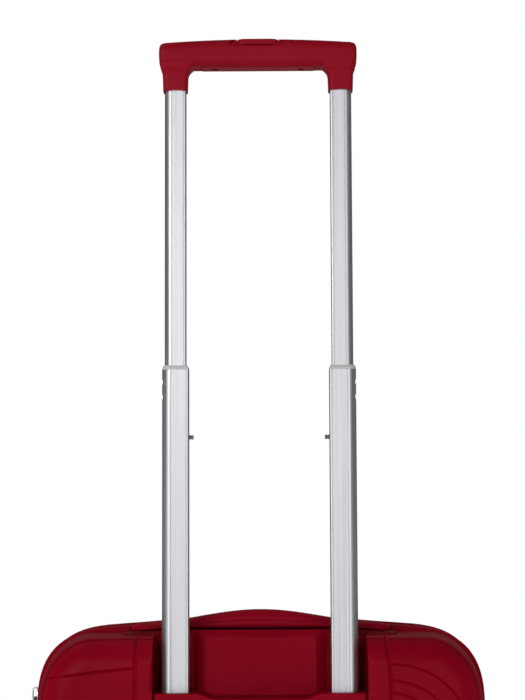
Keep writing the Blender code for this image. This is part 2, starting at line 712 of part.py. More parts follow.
def lining(side, inset, floor_y, rim_y):
    """A fabric tray inside one half, stepped in over the caster pockets."""
    notches, inner_notches = [], []
    for side_x in (-1, 1):
        notches.append(caster_pocket(side_x, side, WALL + 1))
        inner_notches.append(caster_pocket(side_x, side, WALL + 1 + LINING_THICKNESS))
    outside = prism(body_outline(inset, 1), "y", *sorted((side * rim_y, side * floor_y)))
    space = prism(
        body_outline(inset + LINING_THICKNESS, 1),
        "y",
        *sorted((side * (rim_y - 10), side * (floor_y - LINING_THICKNESS))),
    )
    return cut(cut(outside, *notches), cut(space, *inner_notches))


def packing_straps():
    """Two elastic straps that cross over the rear half, as one flat cross."""
    floor = -REAR_LINING_Y + LINING_THICKNESS + GAP
    reach, rise, half = 132.0, 165.0, 12.5
    length = math.hypot(reach, rise)
    side, lift = half * rise / length, half * reach / length
    bands = []
    for mirror in (-1, 1):
        ends = [(-reach - side, -rise + lift), (reach - side, rise + lift)]
        ends += [(reach + side, rise - lift), (-reach + side, -rise - lift)]
        bands.append(prism([(mirror * x, 300 + z) for x, z in ends], "y", floor, floor + 1.4))
    return joined(*bands)


def strap_buckle():
    floor = -REAR_LINING_Y + LINING_THICKNESS + 2 * GAP + 1.4
    return prism(rounded((-31, 31), (282, 318), 6.0), "y", floor, floor + 7)


# ---------------------------------------------------------------- assembly


def build():
    clear_scene()
    red = material("moulded_red", (0.21, 0.006, 0.014), 0.42)
    red_soft = material("handle_red", (0.22, 0.008, 0.018), 0.5)
    aluminium = material("anodised_aluminium", (0.72, 0.72, 0.73), 0.34, 1.0)
    steel = material("zinc_plate", (0.6, 0.6, 0.62), 0.25, 1.0)
    black = material("black_plastic", (0.02, 0.02, 0.022), 0.5)
    rubber = material("grey_tyre", (0.07, 0.07, 0.075), 0.7)
    tape = material("zip_tape_red", (0.16, 0.006, 0.012), 0.85)
    lining_grey = material("lining_grey", (0.12, 0.12, 0.13), 0.9)
    strap_grey = material("strap_grey", (0.03, 0.03, 0.035), 0.8)

    add("rear_shell", rear_shell(), red)
    add("rear_zip_tape", zip_tape(-1), tape)
    add("hinge_gusset", hinge_gusset(), tape)
    add("rear_side_skid", side_skid(-1), black)
    add("rear_lining", lining(-1, REAR_LINING_INSET, REAR_LINING_Y, 24), lining_grey)
    add("packing_straps", packing_straps(), strap_grey)
    add("strap_buckle", strap_buckle(), black)

    front = add_body("front_half_body", (HINGE_X, 0.0, 0.0))
    add("front_shell", front_shell(), red, front)
    add("front_zip_tape", zip_tape(1), tape, front)
    add("front_side_skid", side_skid(1), black, front)
    add("front_lining", lining(1, FRONT_LINING_INSET, FRONT_LINING_Y, 20), lining_grey, front)

    for name, z, drop in (("upper", UPPER_SLIDER_Z, UPPER_TAB_DROP), ("lower", LOWER_SLIDER_Z, 0.0)):
        body = add_body(f"slider_{name}_body", (-HALF_WIDTH, 0.0, z))
        add(f"slider_{name}", slider(z), steel, body)
        add(f"puller_{name}", puller(z, drop), steel, body)

    add("lock_body", lock_body(), black)
    body = add_body("lock_button_body", (LOCK_FACE_X, DIAL_Y, LOCK_BUTTON_Z))
    add("lock_button", lock_button(), steel, body)
    for number, z in enumerate(DIAL_HEIGHTS, start=1):
        body = add_body(f"lock_dial_{number}_body", (DIAL_X, DIAL_Y, z))
        add(f"lock_dial_{number}", lock_dial(z), black, body)

    for name, to_case in (("top", TOP_HANDLE), ("side", SIDE_HANDLE)):
        add(f"{name}_handle_base", handle_base(to_case), red)
        body = add_body(f"{name}_handle_body", to_case(0, 0, 0))
        add(f"{name}_handle", carry_handle(to_case), red_soft, body)

    add("tube_bezel", tube_bezel(), red)
    add("trolley_base", trolley_base(), black)
    mid = add_body("mid_stage_body", (0.0, TUBE_Y, COLLAR_Z[1]))
    upper = add_body("upper_stage_body", (0.0, TUBE_Y, GRIP_Z[1]), mid)
    for name, side in (("left", -1), ("right", 1)):
        add(f"outer_tube_{name}", outer_tube(side), aluminium)
        add(f"mid_tube_{name}", mid_tube(side), aluminium, mid)
        add(f"mid_collar_{name}", mid_collar(side), black, mid)
        pin = add_body(f"lock_pin_{name}_body", (side * (TUBE_X - MID_TUBE[0]), TUBE_Y, PIN_Z), mid)
        add(f"lock_pin_{name}", lock_pin(side), steel, pin)
        add(f"inner_tube_{name}", inner_tube(side), aluminium, upper)
    add("grip_body", grip_body(), red_soft, upper)
    add("grip_underside", grip_underside(), red_soft, upper)
    button = add_body("grip_button_body", (0.0, TUBE_Y, BUTTON_Z[1]), upper)
    add("grip_button", grip_button(), red_soft, button)
    add("push_yoke", push_yoke(), steel, button)

    for end, side_y in (("rear", -1), ("front", 1)):
        half = front if side_y > 0 else None
        for hand, side_x in (("left", -1), ("right", 1)):
            place_name = f"{end}_{hand}"
            x, y = side_x * CASTER_X, side_y * CASTER_Y
            add(f"caster_housing_{place_name}", caster_housing(side_x, side_y), black, half)
            swivel = add_body(f"caster_{place_name}_body", (x, y, WHEEL_RADIUS), half)
            add(f"caster_fork_{place_name}", caster_fork(x, y), black, swivel)
            add(f"caster_axle_{place_name}", caster_axle(x, y), steel, swivel)
            for letter, side in (("a", -1), ("b", 1)):
                axis = add_body(f"wheel_{place_name}_{letter}_body", (x, y + TRAIL, WHEEL_RADIUS), swivel)
                add(f"wheel_{place_name}_{letter}", wheel(x, y, side), rubber, axis)


build()
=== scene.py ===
"""Looks for a cabin-size hard shell suitcase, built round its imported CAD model.

+Z is up, the trolley handle is on the -Y side, the lock is on the -X side and the hinge on the +X side.
Shapes are worked out in millimetres and scaled to metres in piece().
"""

import math

import bmesh
import bpy
from mathutils import Matrix, Vector, noise
from mathutils.bvhtree import BVHTree


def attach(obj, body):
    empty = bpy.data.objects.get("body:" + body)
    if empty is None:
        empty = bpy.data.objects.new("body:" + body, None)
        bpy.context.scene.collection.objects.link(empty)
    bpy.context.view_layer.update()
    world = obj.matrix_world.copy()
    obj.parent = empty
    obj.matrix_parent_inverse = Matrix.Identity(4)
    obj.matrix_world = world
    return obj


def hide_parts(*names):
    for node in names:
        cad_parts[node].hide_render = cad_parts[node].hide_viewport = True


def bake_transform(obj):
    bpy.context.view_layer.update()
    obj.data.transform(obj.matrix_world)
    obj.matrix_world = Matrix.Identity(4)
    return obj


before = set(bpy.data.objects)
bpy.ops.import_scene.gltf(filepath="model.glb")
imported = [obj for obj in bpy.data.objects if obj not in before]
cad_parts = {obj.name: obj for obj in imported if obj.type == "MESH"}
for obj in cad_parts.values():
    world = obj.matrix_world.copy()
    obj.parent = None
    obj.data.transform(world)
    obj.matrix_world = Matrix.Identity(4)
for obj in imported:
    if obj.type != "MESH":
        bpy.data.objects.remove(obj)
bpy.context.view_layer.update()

FAR = 120.0

# ---------------------------------------------------------------- shapes


def on_axis(axis, a, b, along):
    return {"x": (along, a, b), "y": (a, along, b), "z": (a, b, along)}[axis]


def skin(rings, closed=False, caps=True):
    mesh = bmesh.new()
    loops = [[mesh.verts.new(point) for point in ring] for ring in rings]
    following = loops[1:] + loops[:1] if closed else loops[1:]
    for first, second in zip(loops, following):
        for i in range(len(first)):
            j = (i + 1) % len(first)
            mesh.faces.new((first[i], first[j], second[j], second[i]))
    if caps and not closed:
        mesh.faces.new(loops[0])
        mesh.faces.new(loops[-1])
    bmesh.ops.recalc_face_normals(mesh, faces=mesh.faces)
    return mesh


def sheet_mesh(rows):
    """An open sheet through rows of points."""
    mesh = bmesh.new()
    grid = [[mesh.verts.new(point) for point in row] for row in rows]
    for first, second in zip(grid, grid[1:]):
        for corners in zip(first, first[1:], second[1:], second):
            mesh.faces.new(corners)
    return mesh


def stacked(axis, stations, closed=False):
    """A solid through outlines, each at its place along the axis. A closed one leads back to its start."""
    return skin([[on_axis(axis, a, b, along) for a, b in plan] for along, plan in stations], closed)


def prism(plan, axis, low, high):
    return stacked(axis, [(low, plan), (high, plan)])


def box(x, y, z):
    return prism([(x[0], y[0]), (x[1], y[0]), (x[1], y[1]), (x[0], y[1])], "z", *z)


def circle(a, b, radius, segments):
    turns = [2 * math.pi * i / segments for i in range(segments)]
    return [(a + radius * math.cos(t), b + radius * math.sin(t)) for t in turns]


def cylinder(axis, a, b, radius, low, high, segments=40):
    return prism(circle(a, b, radius, segments), axis, low, high)


def turned(axis, a, b, profile, segments=64, closed=False):
    """A turned solid: profile holds (radius, place along the axis), from one end to the other."""
    return stacked(axis, [(along, circle(a, b, radius, segments)) for radius, along in profile], closed)


def arc(a, b, radius_a, radius_b, start, end, steps):
    turns = [math.radians(start + (end - start) * i / steps) for i in range(steps + 1)]
    return [(a + radius_a * math.cos(t), b + radius_b * math.sin(t)) for t in turns]


def rounded(a, b, radius, steps=6):
    outline = []
    for quarter in range(4):
        corner_a = a[1] - radius if quarter in (0, 3) else a[0] + radius
        corner_b = b[1] - radius if quarter in (0, 1) else b[0] + radius
        start = 90 * quarter
        outline += arc(corner_a, corner_b, radius, radius, start, start + 90, steps)
    return outline


def span(side, a, b):
    """The two places on this side of the middle, the lower one first."""
    return sorted((side * a, side * b))


def temporary(mesh):
    data = bpy.data.meshes.new("temporary")
    mesh.to_mesh(data)
    mesh.free()
    made = bpy.data.objects.new("temporary", data)
    bpy.context.scene.collection.objects.link(made)
    return made


def evaluated(made):
    bpy.context.view_layer.update()
    mesh = bmesh.new()
    mesh.from_mesh(made.evaluated_get(bpy.context.evaluated_depsgraph_get()).to_mesh())
    return mesh


def combined(mesh, others, operation):
    for other in others:
        whole = all(edge.is_manifold for each in (mesh, other) for edge in each.edges)
        target, tool = temporary(mesh), temporary(other)
        modifier = target.modifiers.new("combine", "BOOLEAN")
        modifier.operation = operation
        modifier.solver = "MANIFOLD" if whole else "EXACT"
        modifier.object = tool
        mesh = evaluated(target)
        for used in (target, tool):
            bpy.data.meshes.remove(used.data)
    return mesh


def cut(mesh, *tools):
    return combined(mesh, tools, "DIFFERENCE")


def joined(mesh, *others):
    return combined(mesh, others, "UNION")


def shared(mesh, other):
    return combined(mesh, [other], "INTERSECT")


def merged(mesh, *others):
    """The meshes side by side as one, without joining their surfaces."""
    for other in others:
        data = bpy.data.meshes.new("temporary")
        other.to_mesh(data)
        other.free()
        mesh.from_mesh(data)
        bpy.data.meshes.remove(data)
    return mesh


def modified(mesh, *steps):
    """The mesh with these modifiers applied, each one a kind and its settings."""
    made = temporary(mesh)
    for kind, settings in steps:
        modifier = made.modifiers.new(kind.lower(), kind)
        for name, value in settings.items():
            setattr(modifier, name, value)
    result = evaluated(made)
    bpy.data.meshes.remove(made.data)
    return result


def bevelled(mesh, width, segments=3, angle=34):
    bmesh.ops.remove_doubles(mesh, verts=mesh.verts, dist=0.01)
    bmesh.ops.dissolve_limit(
        mesh, angle_limit=math.radians(0.3), verts=mesh.verts, edges=mesh.edges, delimit={"NORMAL"}
    )
    edges = {"limit_method": "ANGLE", "angle_limit": math.radians(angle)}
    corners = {"use_clamp_overlap": True, "miter_outer": "MITER_ARC"}
    return modified(mesh, ("BEVEL", {"width": width, "segments": segments, **edges, **corners}))


def remeshed(mesh, voxel, smooth=4):
    """One even skin over the mesh, with its inner corners softened."""
    skinned = ("REMESH", {"mode": "VOXEL", "voxel_size": voxel})
    return modified(mesh, skinned, ("SMOOTH", {"factor": 0.5, "iterations": smooth}))


def thickened(mesh, thickness):
    """A sheet given this thickness in mm, half to each side."""
    return modified(mesh, ("SOLIDIFY", {"thickness": thickness, "offset": 0.0}))


def piece(name, mesh, finish, body, replaces=None, sharp=35.0, weighted=True):
    """One visible piece from a mesh in millimetres, riding on a body and standing for a CAD node."""
    bmesh.ops.recalc_face_normals(mesh, faces=mesh.faces)
    mesh.transform(Matrix.Scale(0.001, 4))
    data = bpy.data.meshes.new(name)
    mesh.to_mesh(data)
    mesh.free()
    data.shade_smooth()
    data.set_sharp_from_angle(angle=math.radians(sharp))
    data.materials.append(finish)
    made = bpy.data.objects.new(name, data)
    bpy.context.scene.collection.objects.link(made)
    if weighted:
        modifier = made.modifiers.new("even normals", "WEIGHTED_NORMAL")
        modifier.keep_sharp = True
        modifier.weight = 80
    if body:
        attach(made, body)
    if replaces:
        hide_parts(*([replaces] if isinstance(replaces, str) else replaces))
    return made


# ---------------------------------------------------------------- materials


def srgb(red, green, blue):
    values = []
    for value in (red, green, blue):
        value /= 255
        values.append(value / 12.92 if value <= 0.04045 else ((value + 0.055) / 1.055) ** 2.4)
    return (*values, 1.0)


class Surface:
    """A Principled material, with short calls for the nodes that drive it."""

    def __init__(self, name, roughness, metallic=0.0, specular=0.5):
        self.material = bpy.data.materials.new(name)
        self.material.use_nodes = True
        self.nodes = self.material.node_tree.nodes
        self.links = self.material.node_tree.links
        self.shader = self.nodes["Principled BSDF"]
        self.shader.inputs["Roughness"].default_value = roughness
        self.shader.inputs["Metallic"].default_value = metallic
        self.shader.inputs["Specular IOR Level"].default_value = specular
        self.place = self.nodes.new("ShaderNodeTexCoord").outputs["Object"]
        self.normal = None

    def node(self, kind, values, sources):
        """A node with these values, and with these inputs linked to their sources."""
        made = self.nodes.new(f"ShaderNode{kind}")
        for name, value in values.items():
            made.inputs[name].default_value = value
        for name, source in sources.items():
            self.links.new(source, made.inputs[name])
        return made

    def stretched(self, scale, turn=(0, 0, 0)):
        values = {"Scale": scale, "Rotation": [math.radians(t) for t in turn]}
        return self.node("Mapping", values, {"Vector": self.place}).outputs["Vector"]

    def noise(self, scale, detail=2.0, place=None, roughness=0.5):
        values = {"Scale": scale, "Detail": detail, "Roughness": roughness}
        return self.node("TexNoise", values, {"Vector": place or self.place}).outputs["Fac"]

    def cells(self, scale):
        return self.node("TexVoronoi", {"Scale": scale}, {"Vector": self.place}).outputs["Distance"]

    def waves(self, scale, direction):
        made = self.node("TexWave", {"Scale": scale, "Distortion": 0.4}, {"Vector": self.place})
        made.bands_direction = direction
        return made.outputs["Fac"]

    def math(self, operation, first, second, clamp=False):
        node = self.nodes.new("ShaderNodeMath")
        node.operation = operation
        node.use_clamp = clamp
        for socket, value in zip(node.inputs, (first, second)):
            if isinstance(value, (int, float)):
                socket.default_value = value
            else:
                self.links.new(value, socket)
        return node.outputs[0]

    def spread(self, value, low, high, start=0.3, end=0.7):
        """The value's range from start to end, spread out from low to high."""
        values = {"From Min": start, "From Max": end, "To Min": low, "To Max": high}
        return self.node("MapRange", values, {"Value": value}).outputs["Result"]

    def ramp(self, value, *stops):
        """A colour for this value, between two stops of (position, colour)."""
        made = self.node("ValToRGB", {}, {"Fac": value})
        for element, (position, colour) in zip(made.color_ramp.elements, stops):
            element.position = position
            element.color = srgb(*colour)
        return made.outputs["Color"]

    def colour(self, source):
        self.links.new(source, self.shader.inputs["Base Color"])

    def rough(self, source):
        self.links.new(source, self.shader.inputs["Roughness"])

    def bump(self, height, strength, distance):
        """Bumps on top of those made by earlier calls."""
        sources = {"Height": height}
        if self.normal:
            sources["Normal"] = self.normal
        made = self.node("Bump", {"Strength": strength, "Distance": distance}, sources)
        self.normal = made.outputs["Normal"]
        self.links.new(self.normal, self.shader.inputs["Normal"])


def moulded(name, dark, light, roughness, grain, depth, specular=0.3, scuffs=0.0):
    """Moulded plastic with a fine pebbled grain. grain is its size in metres."""
    made = Surface(name, roughness, specular=specular)
    cloud = made.noise(14.0, 3.0)
    made.colour(made.ramp(cloud, (0.3, dark), (0.7, light)))
    pebbles = made.cells(0.8 / grain)
    fine = made.noise(1.6 / grain, 2.0)
    made.bump(made.math("ADD", pebbles, made.math("MULTIPLY", fine, 0.6)), 0.55, depth)
    worn = made.spread(made.noise(60.0, 4.0), -0.05, 0.06)
    wear = made.math("ADD", made.spread(fine, -0.04, 0.04), worn)
    if scuffs:
        lines = made.noise(9.0, 6.0, made.stretched((1, 1, 24), (0, 38, 12)), 0.7)
        scratch = made.spread(lines, 0.0, scuffs, 0.66, 0.72)
        wear = made.math("ADD", wear, scratch)
    made.rough(made.math("ADD", wear, roughness, clamp=True))
    return made.material


def drawn_metal(name, dark, light, roughness):
    """Anodised aluminium with fine lines along Z from the die."""
    made = Surface(name, roughness, metallic=1.0)
    lines = made.noise(900.0, 3.0, made.stretched((1, 1, 0.004)), 0.6)
    made.colour(made.ramp(lines, (0.3, dark), (0.7, light)))
    patches = made.spread(made.noise(22.0, 3.0, made.stretched((1, 1, 0.25))), -0.04, 0.05)
    wear = made.math("ADD", made.spread(lines, -0.06, 0.08), patches)
    made.rough(made.math("ADD", wear, roughness, clamp=True))
    made.bump(lines, 0.16, 0.00012)
    made.bump(made.noise(1600.0, 2.0), 0.1, 0.00006)
    return made.material


def plated(name, dark, light, roughness):
    made = Surface(name, roughness, metallic=1.0)
    cloud = made.noise(240.0, 4.0)
    made.colour(made.ramp(cloud, (0.3, dark), (0.7, light)))
    wear = made.spread(made.noise(700.0, 3.0), -0.08, 0.12)
    made.rough(made.math("ADD", wear, roughness, clamp=True))
    made.bump(made.noise(1800.0, 3.0), 0.2, 0.00008)
    return made.material


def woven(name, dark, light, thread, across="X", along="Z"):
    """Plain weave with threads this far apart, in metres."""
    depth = 0.0002
    made = Surface(name, 0.85, specular=0.15)
    made.shader.inputs["Sheen Weight"].default_value = 0.25
    made.shader.inputs["Sheen Roughness"].default_value = 0.5
    scale = 0.1592 * 2 * math.pi / thread / 2
    warp, weft = made.waves(scale, across), made.waves(scale, along)
    weave = made.math("MAXIMUM", made.math("MULTIPLY", warp, 0.9), weft)
    cloud = made.noise(35.0, 4.0)
    tint = made.math("ADD", made.math("MULTIPLY", weave, 0.5), made.math("MULTIPLY", cloud, 0.5))
    made.colour(made.ramp(tint, (0.2, dark), (0.8, light)))
    made.bump(weave, 0.6, depth)
    made.bump(made.noise(2600.0, 3.0), 0.15, depth)
    return made.material


def tread(name, dark, light):
    made = Surface(name, 0.72, specular=0.3)
    cloud = made.noise(120.0, 5.0)
    made.colour(made.ramp(cloud, (0.35, dark), (0.75, light)))
    made.rough(made.spread(made.noise(300.0, 4.0), 0.55, 0.85))
    made.bump(made.noise(1500.0, 3.0), 0.3, 0.00015)
    return made.material


# Each one's name, its darker and lighter colour in sRGB from 0 to 255, then what its function asks for
RED = moulded("case_red", (114, 0, 18), (124, 2, 24), 0.4, 0.0009, 0.00006, 0.035, 0.1)
RED_FINE = moulded("handle_red", (118, 2, 22), (126, 4, 26), 0.44, 0.0006, 0.00004, 0.05, 0.08)
RED_DARK = moulded("base_red", (88, 0, 12), (98, 0, 16), 0.5, 0.0008, 0.00005, 0.06)
RED_SOFT = moulded("grip_red", (122, 6, 24), (131, 11, 30), 0.44, 0.00045, 0.00003, 0.05, 0.08)
BLACK = moulded("black_plastic", (26, 26, 28), (38, 38, 41), 0.5, 0.0007, 0.00005, 0.4, 0.1)
BLACK_GLOSS = moulded("black_gloss", (18, 18, 20), (24, 24, 26), 0.22, 0.002, 0.00001, 0.5)
STEEL = plated("turned_steel", (104, 105, 108), (132, 133, 136), 0.34)
GREY = moulded("grey_plastic", (168, 169, 171), (180, 181, 183), 0.42, 0.0006, 0.00004, 0.4, 0.1)
METAL = drawn_metal("drawn_aluminium", (178, 179, 182), (197, 198, 201), 0.44)
ZINC = plated("zinc_plate", (186, 188, 191), (202, 204, 207), 0.3)
TYRE = tread("tyre_grey", (44, 44, 46), (60, 60, 62))
TAPE = woven("tape_red", (88, 5, 18), (118, 12, 28), 0.0011, "Y", "Z")
TEETH = moulded("coil_red", (104, 6, 20), (126, 14, 30), 0.4, 0.0012, 0.00003, 0.5)
LINING = woven("lining_grey", (84, 85, 88), (112, 113, 117), 0.0014)
PIPING = woven("piping_grey", (48, 48, 51), (66, 66, 70), 0.0010)
ELASTIC = woven("elastic_dark", (30, 30, 33), (52, 52, 56), 0.0018, "DIAGONAL", "Z")
NUMERAL = moulded("numeral_white", (224, 224, 220), (236, 236, 232), 0.5, 0.0008, 0.00001)

# ---------------------------------------------------------------- the case's form

HALF_WIDTH, SHELL_BOTTOM, SHELL_TOP = 198.0, 56.0, 540.5
TOP_CROWN, CORNER_RADIUS = 18.0, 50.0
CROWN_LOW, RIM_DIP, DIP_END, DIP_RUN = 450, 3.2, 185, 90
FACE_Y, EDGE_RADIUS = 100.0, 26.0
RIM_Y, STEP_Y = 14.0, 22.5
WALL = 2.5
TUBE_X, TUBE_Y = 72.0, -83.0
WELL_HALF, WELL_BACK, WELL_FLOOR, BEZEL_TOP = 91.0, -62.0, 472.0, 480.0
HANDLE_Y = -40.2


def outline(half, low, high, radius, corner, squareness, crown, steps):
    """A rectangle with round corners, squarer ones at the top, and a crowned top, as (x, z)."""
    flat_x, flat_z = half - corner[0], high - corner[1]
    turned_corner = []
    for i in range(steps + 1):
        turn = math.radians(90 * i / steps)
        across = corner[0] * max(math.cos(turn), 0.0) ** squareness
        turned_corner.append((flat_x + across, flat_z + corner[1] * math.sin(turn) ** squareness))
    points = list(turned_corner)
    points += [(flat_x - 2 * flat_x * i / steps, high) for i in range(1, steps)]
    points += [(-x, z) for x, z in reversed(turned_corner)]
    flat = half - radius
    points += arc(-flat, low + radius, radius, radius, 180, 270, steps)
    points += arc(flat, low + radius, radius, radius, 270, 360, steps)
    middle = (SHELL_BOTTOM + SHELL_TOP) / 2
    crowned = []
    for x, z in points:
        height = max(z - middle, 0.0) / (SHELL_TOP - middle)
        crowned.append((x, z - crown * (x / HALF_WIDTH) ** 2 * height))
    return crowned


def flattened(x, z):
    """How far the rim's crown lies below its parabola, which is nothing lower down and near the corners."""
    if z <= CROWN_LOW:
        return 0.0
    share = min(max((DIP_END - abs(x)) / DIP_RUN, 0.0), 1.0)
    return RIM_DIP * share**2 * (3 - 2 * share)


def case_outline(inset, steps=22):
    half, low, high = HALF_WIDTH - inset, SHELL_BOTTOM + inset, SHELL_TOP - inset
    points = outline(half, low, high, CORNER_RADIUS - inset, (75 - inset, 80 - inset), 0.61, TOP_CROWN, steps)
    return [(x, z - flattened(x, z)) for x, z in points]


def body_outline(inset, draft, steps=22):
    half = HALF_WIDTH - 3.6 - 4.8 * draft - inset
    low = SHELL_BOTTOM + 4.4 + 4.6 * draft + inset
    high = SHELL_TOP - 13.3 - 0.8 * draft - inset
    corner = (48 - 2 * draft - inset, 57 - 2 * draft - inset)
    return outline(half, low, high, CORNER_RADIUS - 4 * draft - inset, corner, 1.0, 2.0, steps)


def half_solid(side, inset, rim_y=RIM_Y, edge_steps=12, steps=22, soft_rim=False):
    """A half's outer form, from its rim over the step to its face, this far inside the real one."""
    step = STEP_Y - inset
    rim, flank = [(rim_y, 0.0), (step, 0.0)], [(step + 1, 0.0)]
    if soft_rim:
        rim = [(rim_y, 1.2), (rim_y + 0.35, 0.45), (rim_y + 1.2, 0.0)]
        rim += [(step - 1.6, 0.0), (step - 0.5, 0.4), (step, 1.3)]
        flank = [(step + 0.9, -0.5), (step + 1.8, -0.1), (step + 3.0, 0.0)]
    stations = [(y, case_outline(inset + extra, steps)) for y, extra in rim]
    stations += [(y, body_outline(inset + extra, 0, steps)) for y, extra in flank]
    radius = EDGE_RADIUS - inset
    for i in range(edge_steps + 1):
        turn = math.radians(90 * i / edge_steps)
        inwards = inset + radius * (1 - math.cos(turn))
        stations.append((FACE_Y - EDGE_RADIUS + radius * math.sin(turn), body_outline(inwards, 1, steps)))
    stations.append((FACE_Y - inset, body_outline(inset + radius + 1.5, 1, steps)))
    return stacked("y", [(side * y, points) for y, points in stations])


def caster_pocket(side_x, side_y, margin):
    """The room for a caster in a bottom corner, this much wider than the real one."""
    x = span(side_x, 120 - margin, HALF_WIDTH + FAR)
    y = span(side_y, 24 - margin, 92 + margin)
    return prism(rounded(x, y, 3 + margin), "z", SHELL_BOTTOM - FAR, 98 + margin)


def caster_pockets(side_y, margin):
    return [caster_pocket(side_x, side_y, margin) for side_x in (-1, 1)]


def well(margin):
    """The room in the rear half that the trolley handle goes down into."""
    half = WELL_HALF + margin
    plan = rounded((-half, half), (-FACE_Y - FAR, WELL_BACK + margin), 6.0 + margin)
    return prism(plan, "z", WELL_FLOOR - margin, SHELL_TOP + FAR)


def well_edge():
    """What a wide round on the well's front edges takes away."""
    stations = []
    for deep in (-6.0, 0.0, 0.4, 1.0, 1.8, 2.8, 3.8):
        half = WELL_HALF + 4.0 - math.sqrt(16.0 - min(4.0 - max(deep, 0.0), 3.99) ** 2)
        stations.append((-FACE_Y + deep, [(-half, 483), (half, 483), (half, 700), (-half, 700)]))
    return stacked("y", stations)


def ridge():
    """The raised ridge behind the well, with the sloped top of the well's middle panel."""
    half = [(91.5, 526.2, -65.2, 522.6), (68, 526.6, -65.2, 522.6), (60, 530.0, -62, 527.8)]
    half += [(56, 530.2, -62.3, 527.6), (48, 530.2, -67.4, 524.8)]
    stations = []
    for x, top, front, front_z in [(-station[0], *station[1:]) for station in half] + half[::-1]:
        plan = [(-58.0, 516), (-58.0, top), (-60.6, top), (front, front_z), (front, 516)]
        stations.append((x, plan))
    return stacked("x", stations)


# A carry handle's own directions, along, across and up from the case, as a place on the case


def on_top(along, across, up):
    return (along, HANDLE_Y + across, SHELL_TOP + up)


def on_side(along, across, up):
    return (-196.0 - up, HANDLE_Y + across, 245.0 + along)


def local_prism(plan, low, high, to_case):
    return skin([[to_case(along, across, up) for along, across in plan] for up in (low, high)])


def local_box(along, across, up, to_case, radius=0.6):
    return local_prism(rounded(along, across, radius, 3), *up, to_case)


def tub(to_case, half_length, half_width, floor, margin):
    """A recess under a carry handle."""
    length, width = half_length + margin, half_width + margin
    return local_prism(rounded((-length, length), (-width, width), 8), floor - margin, FAR, to_case)


def both_tubs(to_case, margin):
    return [tub(to_case, 119, 19.5, -17, margin), tub(to_case, 50, 17.2, -24, margin)]


# The moulded lines of the faces: nested lines that turn round a corner, two long ones and slanted ones

NESTED_START, NESTED_MIDDLE = 111.0, 296
LEFT_LINE_X, RIGHT_LINE_X = -105.5, 110.3


def nested_line(centre_x, top, radius):
    """From the long line out, round and down beside it, then back in at the bottom. As (x, z)."""
    start = math.degrees(math.acos((NESTED_START - centre_x) / radius))
    line = arc(centre_x, top, radius, radius, start, 0, 26)
    return line + arc(centre_x, 2 * NESTED_MIDDLE - top, radius, radius, 0, -start, 26)


def face_lines(side_y):
    """Each line of a half's face: its points, its width and its depth."""
    heights = (525.5, 523, 520, 516, 511, 505, 499)
    left = list(zip((-104.7, -104.7, -104.8, -104.9, -105, -105.1, -105.2), heights))
    left += [(LEFT_LINE_X, 485 - 25 * i) for i in range(17)]
    right = list(zip((106.2, 106.8, 107.1, 107.7, 108.4, 109.1, 109.8), heights))
    right += [(110.2, 491), *[(RIGHT_LINE_X, 483 - 25 * i) for i in range(17)]]
    lines = [(left, 4.6, 1.5), (right, 4.2, 1.5)]
    lines += [(nested_line(*place), 2.5, 1.2) for place in ((112, 437, 67), (109, 432, 58.5), (110, 436, 44))]
    lines.append(([(-107, 501.5), (-136, 498.4), (-166, 494.7)], 2.8, 1.5))
    lines.append(([(-167.2, 494.5), (-174, 493.4), (-182, 491.6)], 1.2, 0.7))
    lines.append(([(-107, 108.0), (-136, 111.4), (-165, 115.0)], 2.8, 1.5))
    for drop in (0, 15, 30):
        lines.append(([(-107, 452 - drop), (-140, 448 - drop), (-172, 443.4 - drop)], 1.9, 1.1))
    if side_y > 0:
        lines = [([(-x, z) for x, z in points], width, depth) for points, width, depth in lines]
    return lines


def stepped(points, step):
    """The points with more of them in between, at most this far apart."""
    closer = [points[0]]
    for first, second in zip(points, points[1:]):
        count = math.ceil(math.dist(first, second) / step)
        for i in range(1, count + 1):
            closer.append(tuple(a + (b - a) * i / count for a, b in zip(first, second)))
    return closer


def groove(face, side_y, points, width, depth):
    """A V-shaped cutter along the points that goes this deep below the face."""
    clear = 1.2
    points = stepped(points, 5.0)
    rings = []
    for i, (x, z) in enumerate(points):
        place, normal = face.ray_cast(Vector((x, side_y * 200, z)), Vector((0, -side_y, 0)))[:2]
        before, after = points[max(i - 1, 0)], points[min(i + 1, len(points) - 1)]
        ahead = Vector((after[0] - before[0], 0, after[1] - before[1]))
        across = normal.cross(ahead).normalized() * width / 2 * (depth + clear) / depth
        above = place + normal * clear
        rings.append([above + across, above - across, place - normal * depth])
    return skin(rings)


def engraved(shell, side_y):
    face = BVHTree.FromBMesh(half_solid(side_y, 0))
    for points, width, depth in face_lines(side_y):
        shell = cut(shell, groove(face, side_y, points, width, depth))
    ring = hoop_between(1.4, 2.6, side_y)
    return cut(shell, cut(ring, half_solid(side_y, 0.35)))


def hoop_between(outer, inner, side_y):
    """A wall round the case between two insets from the body's outline, where its faces begin to turn."""
    stations = []
    for inset, y in ((outer, 70), (outer, 100), (inner, 100), (inner, 70)):
        stations.append((side_y * y, [(0.985 * x, z) for x, z in body_outline(inset, 1)]))
    return stacked("y", stations, closed=True)


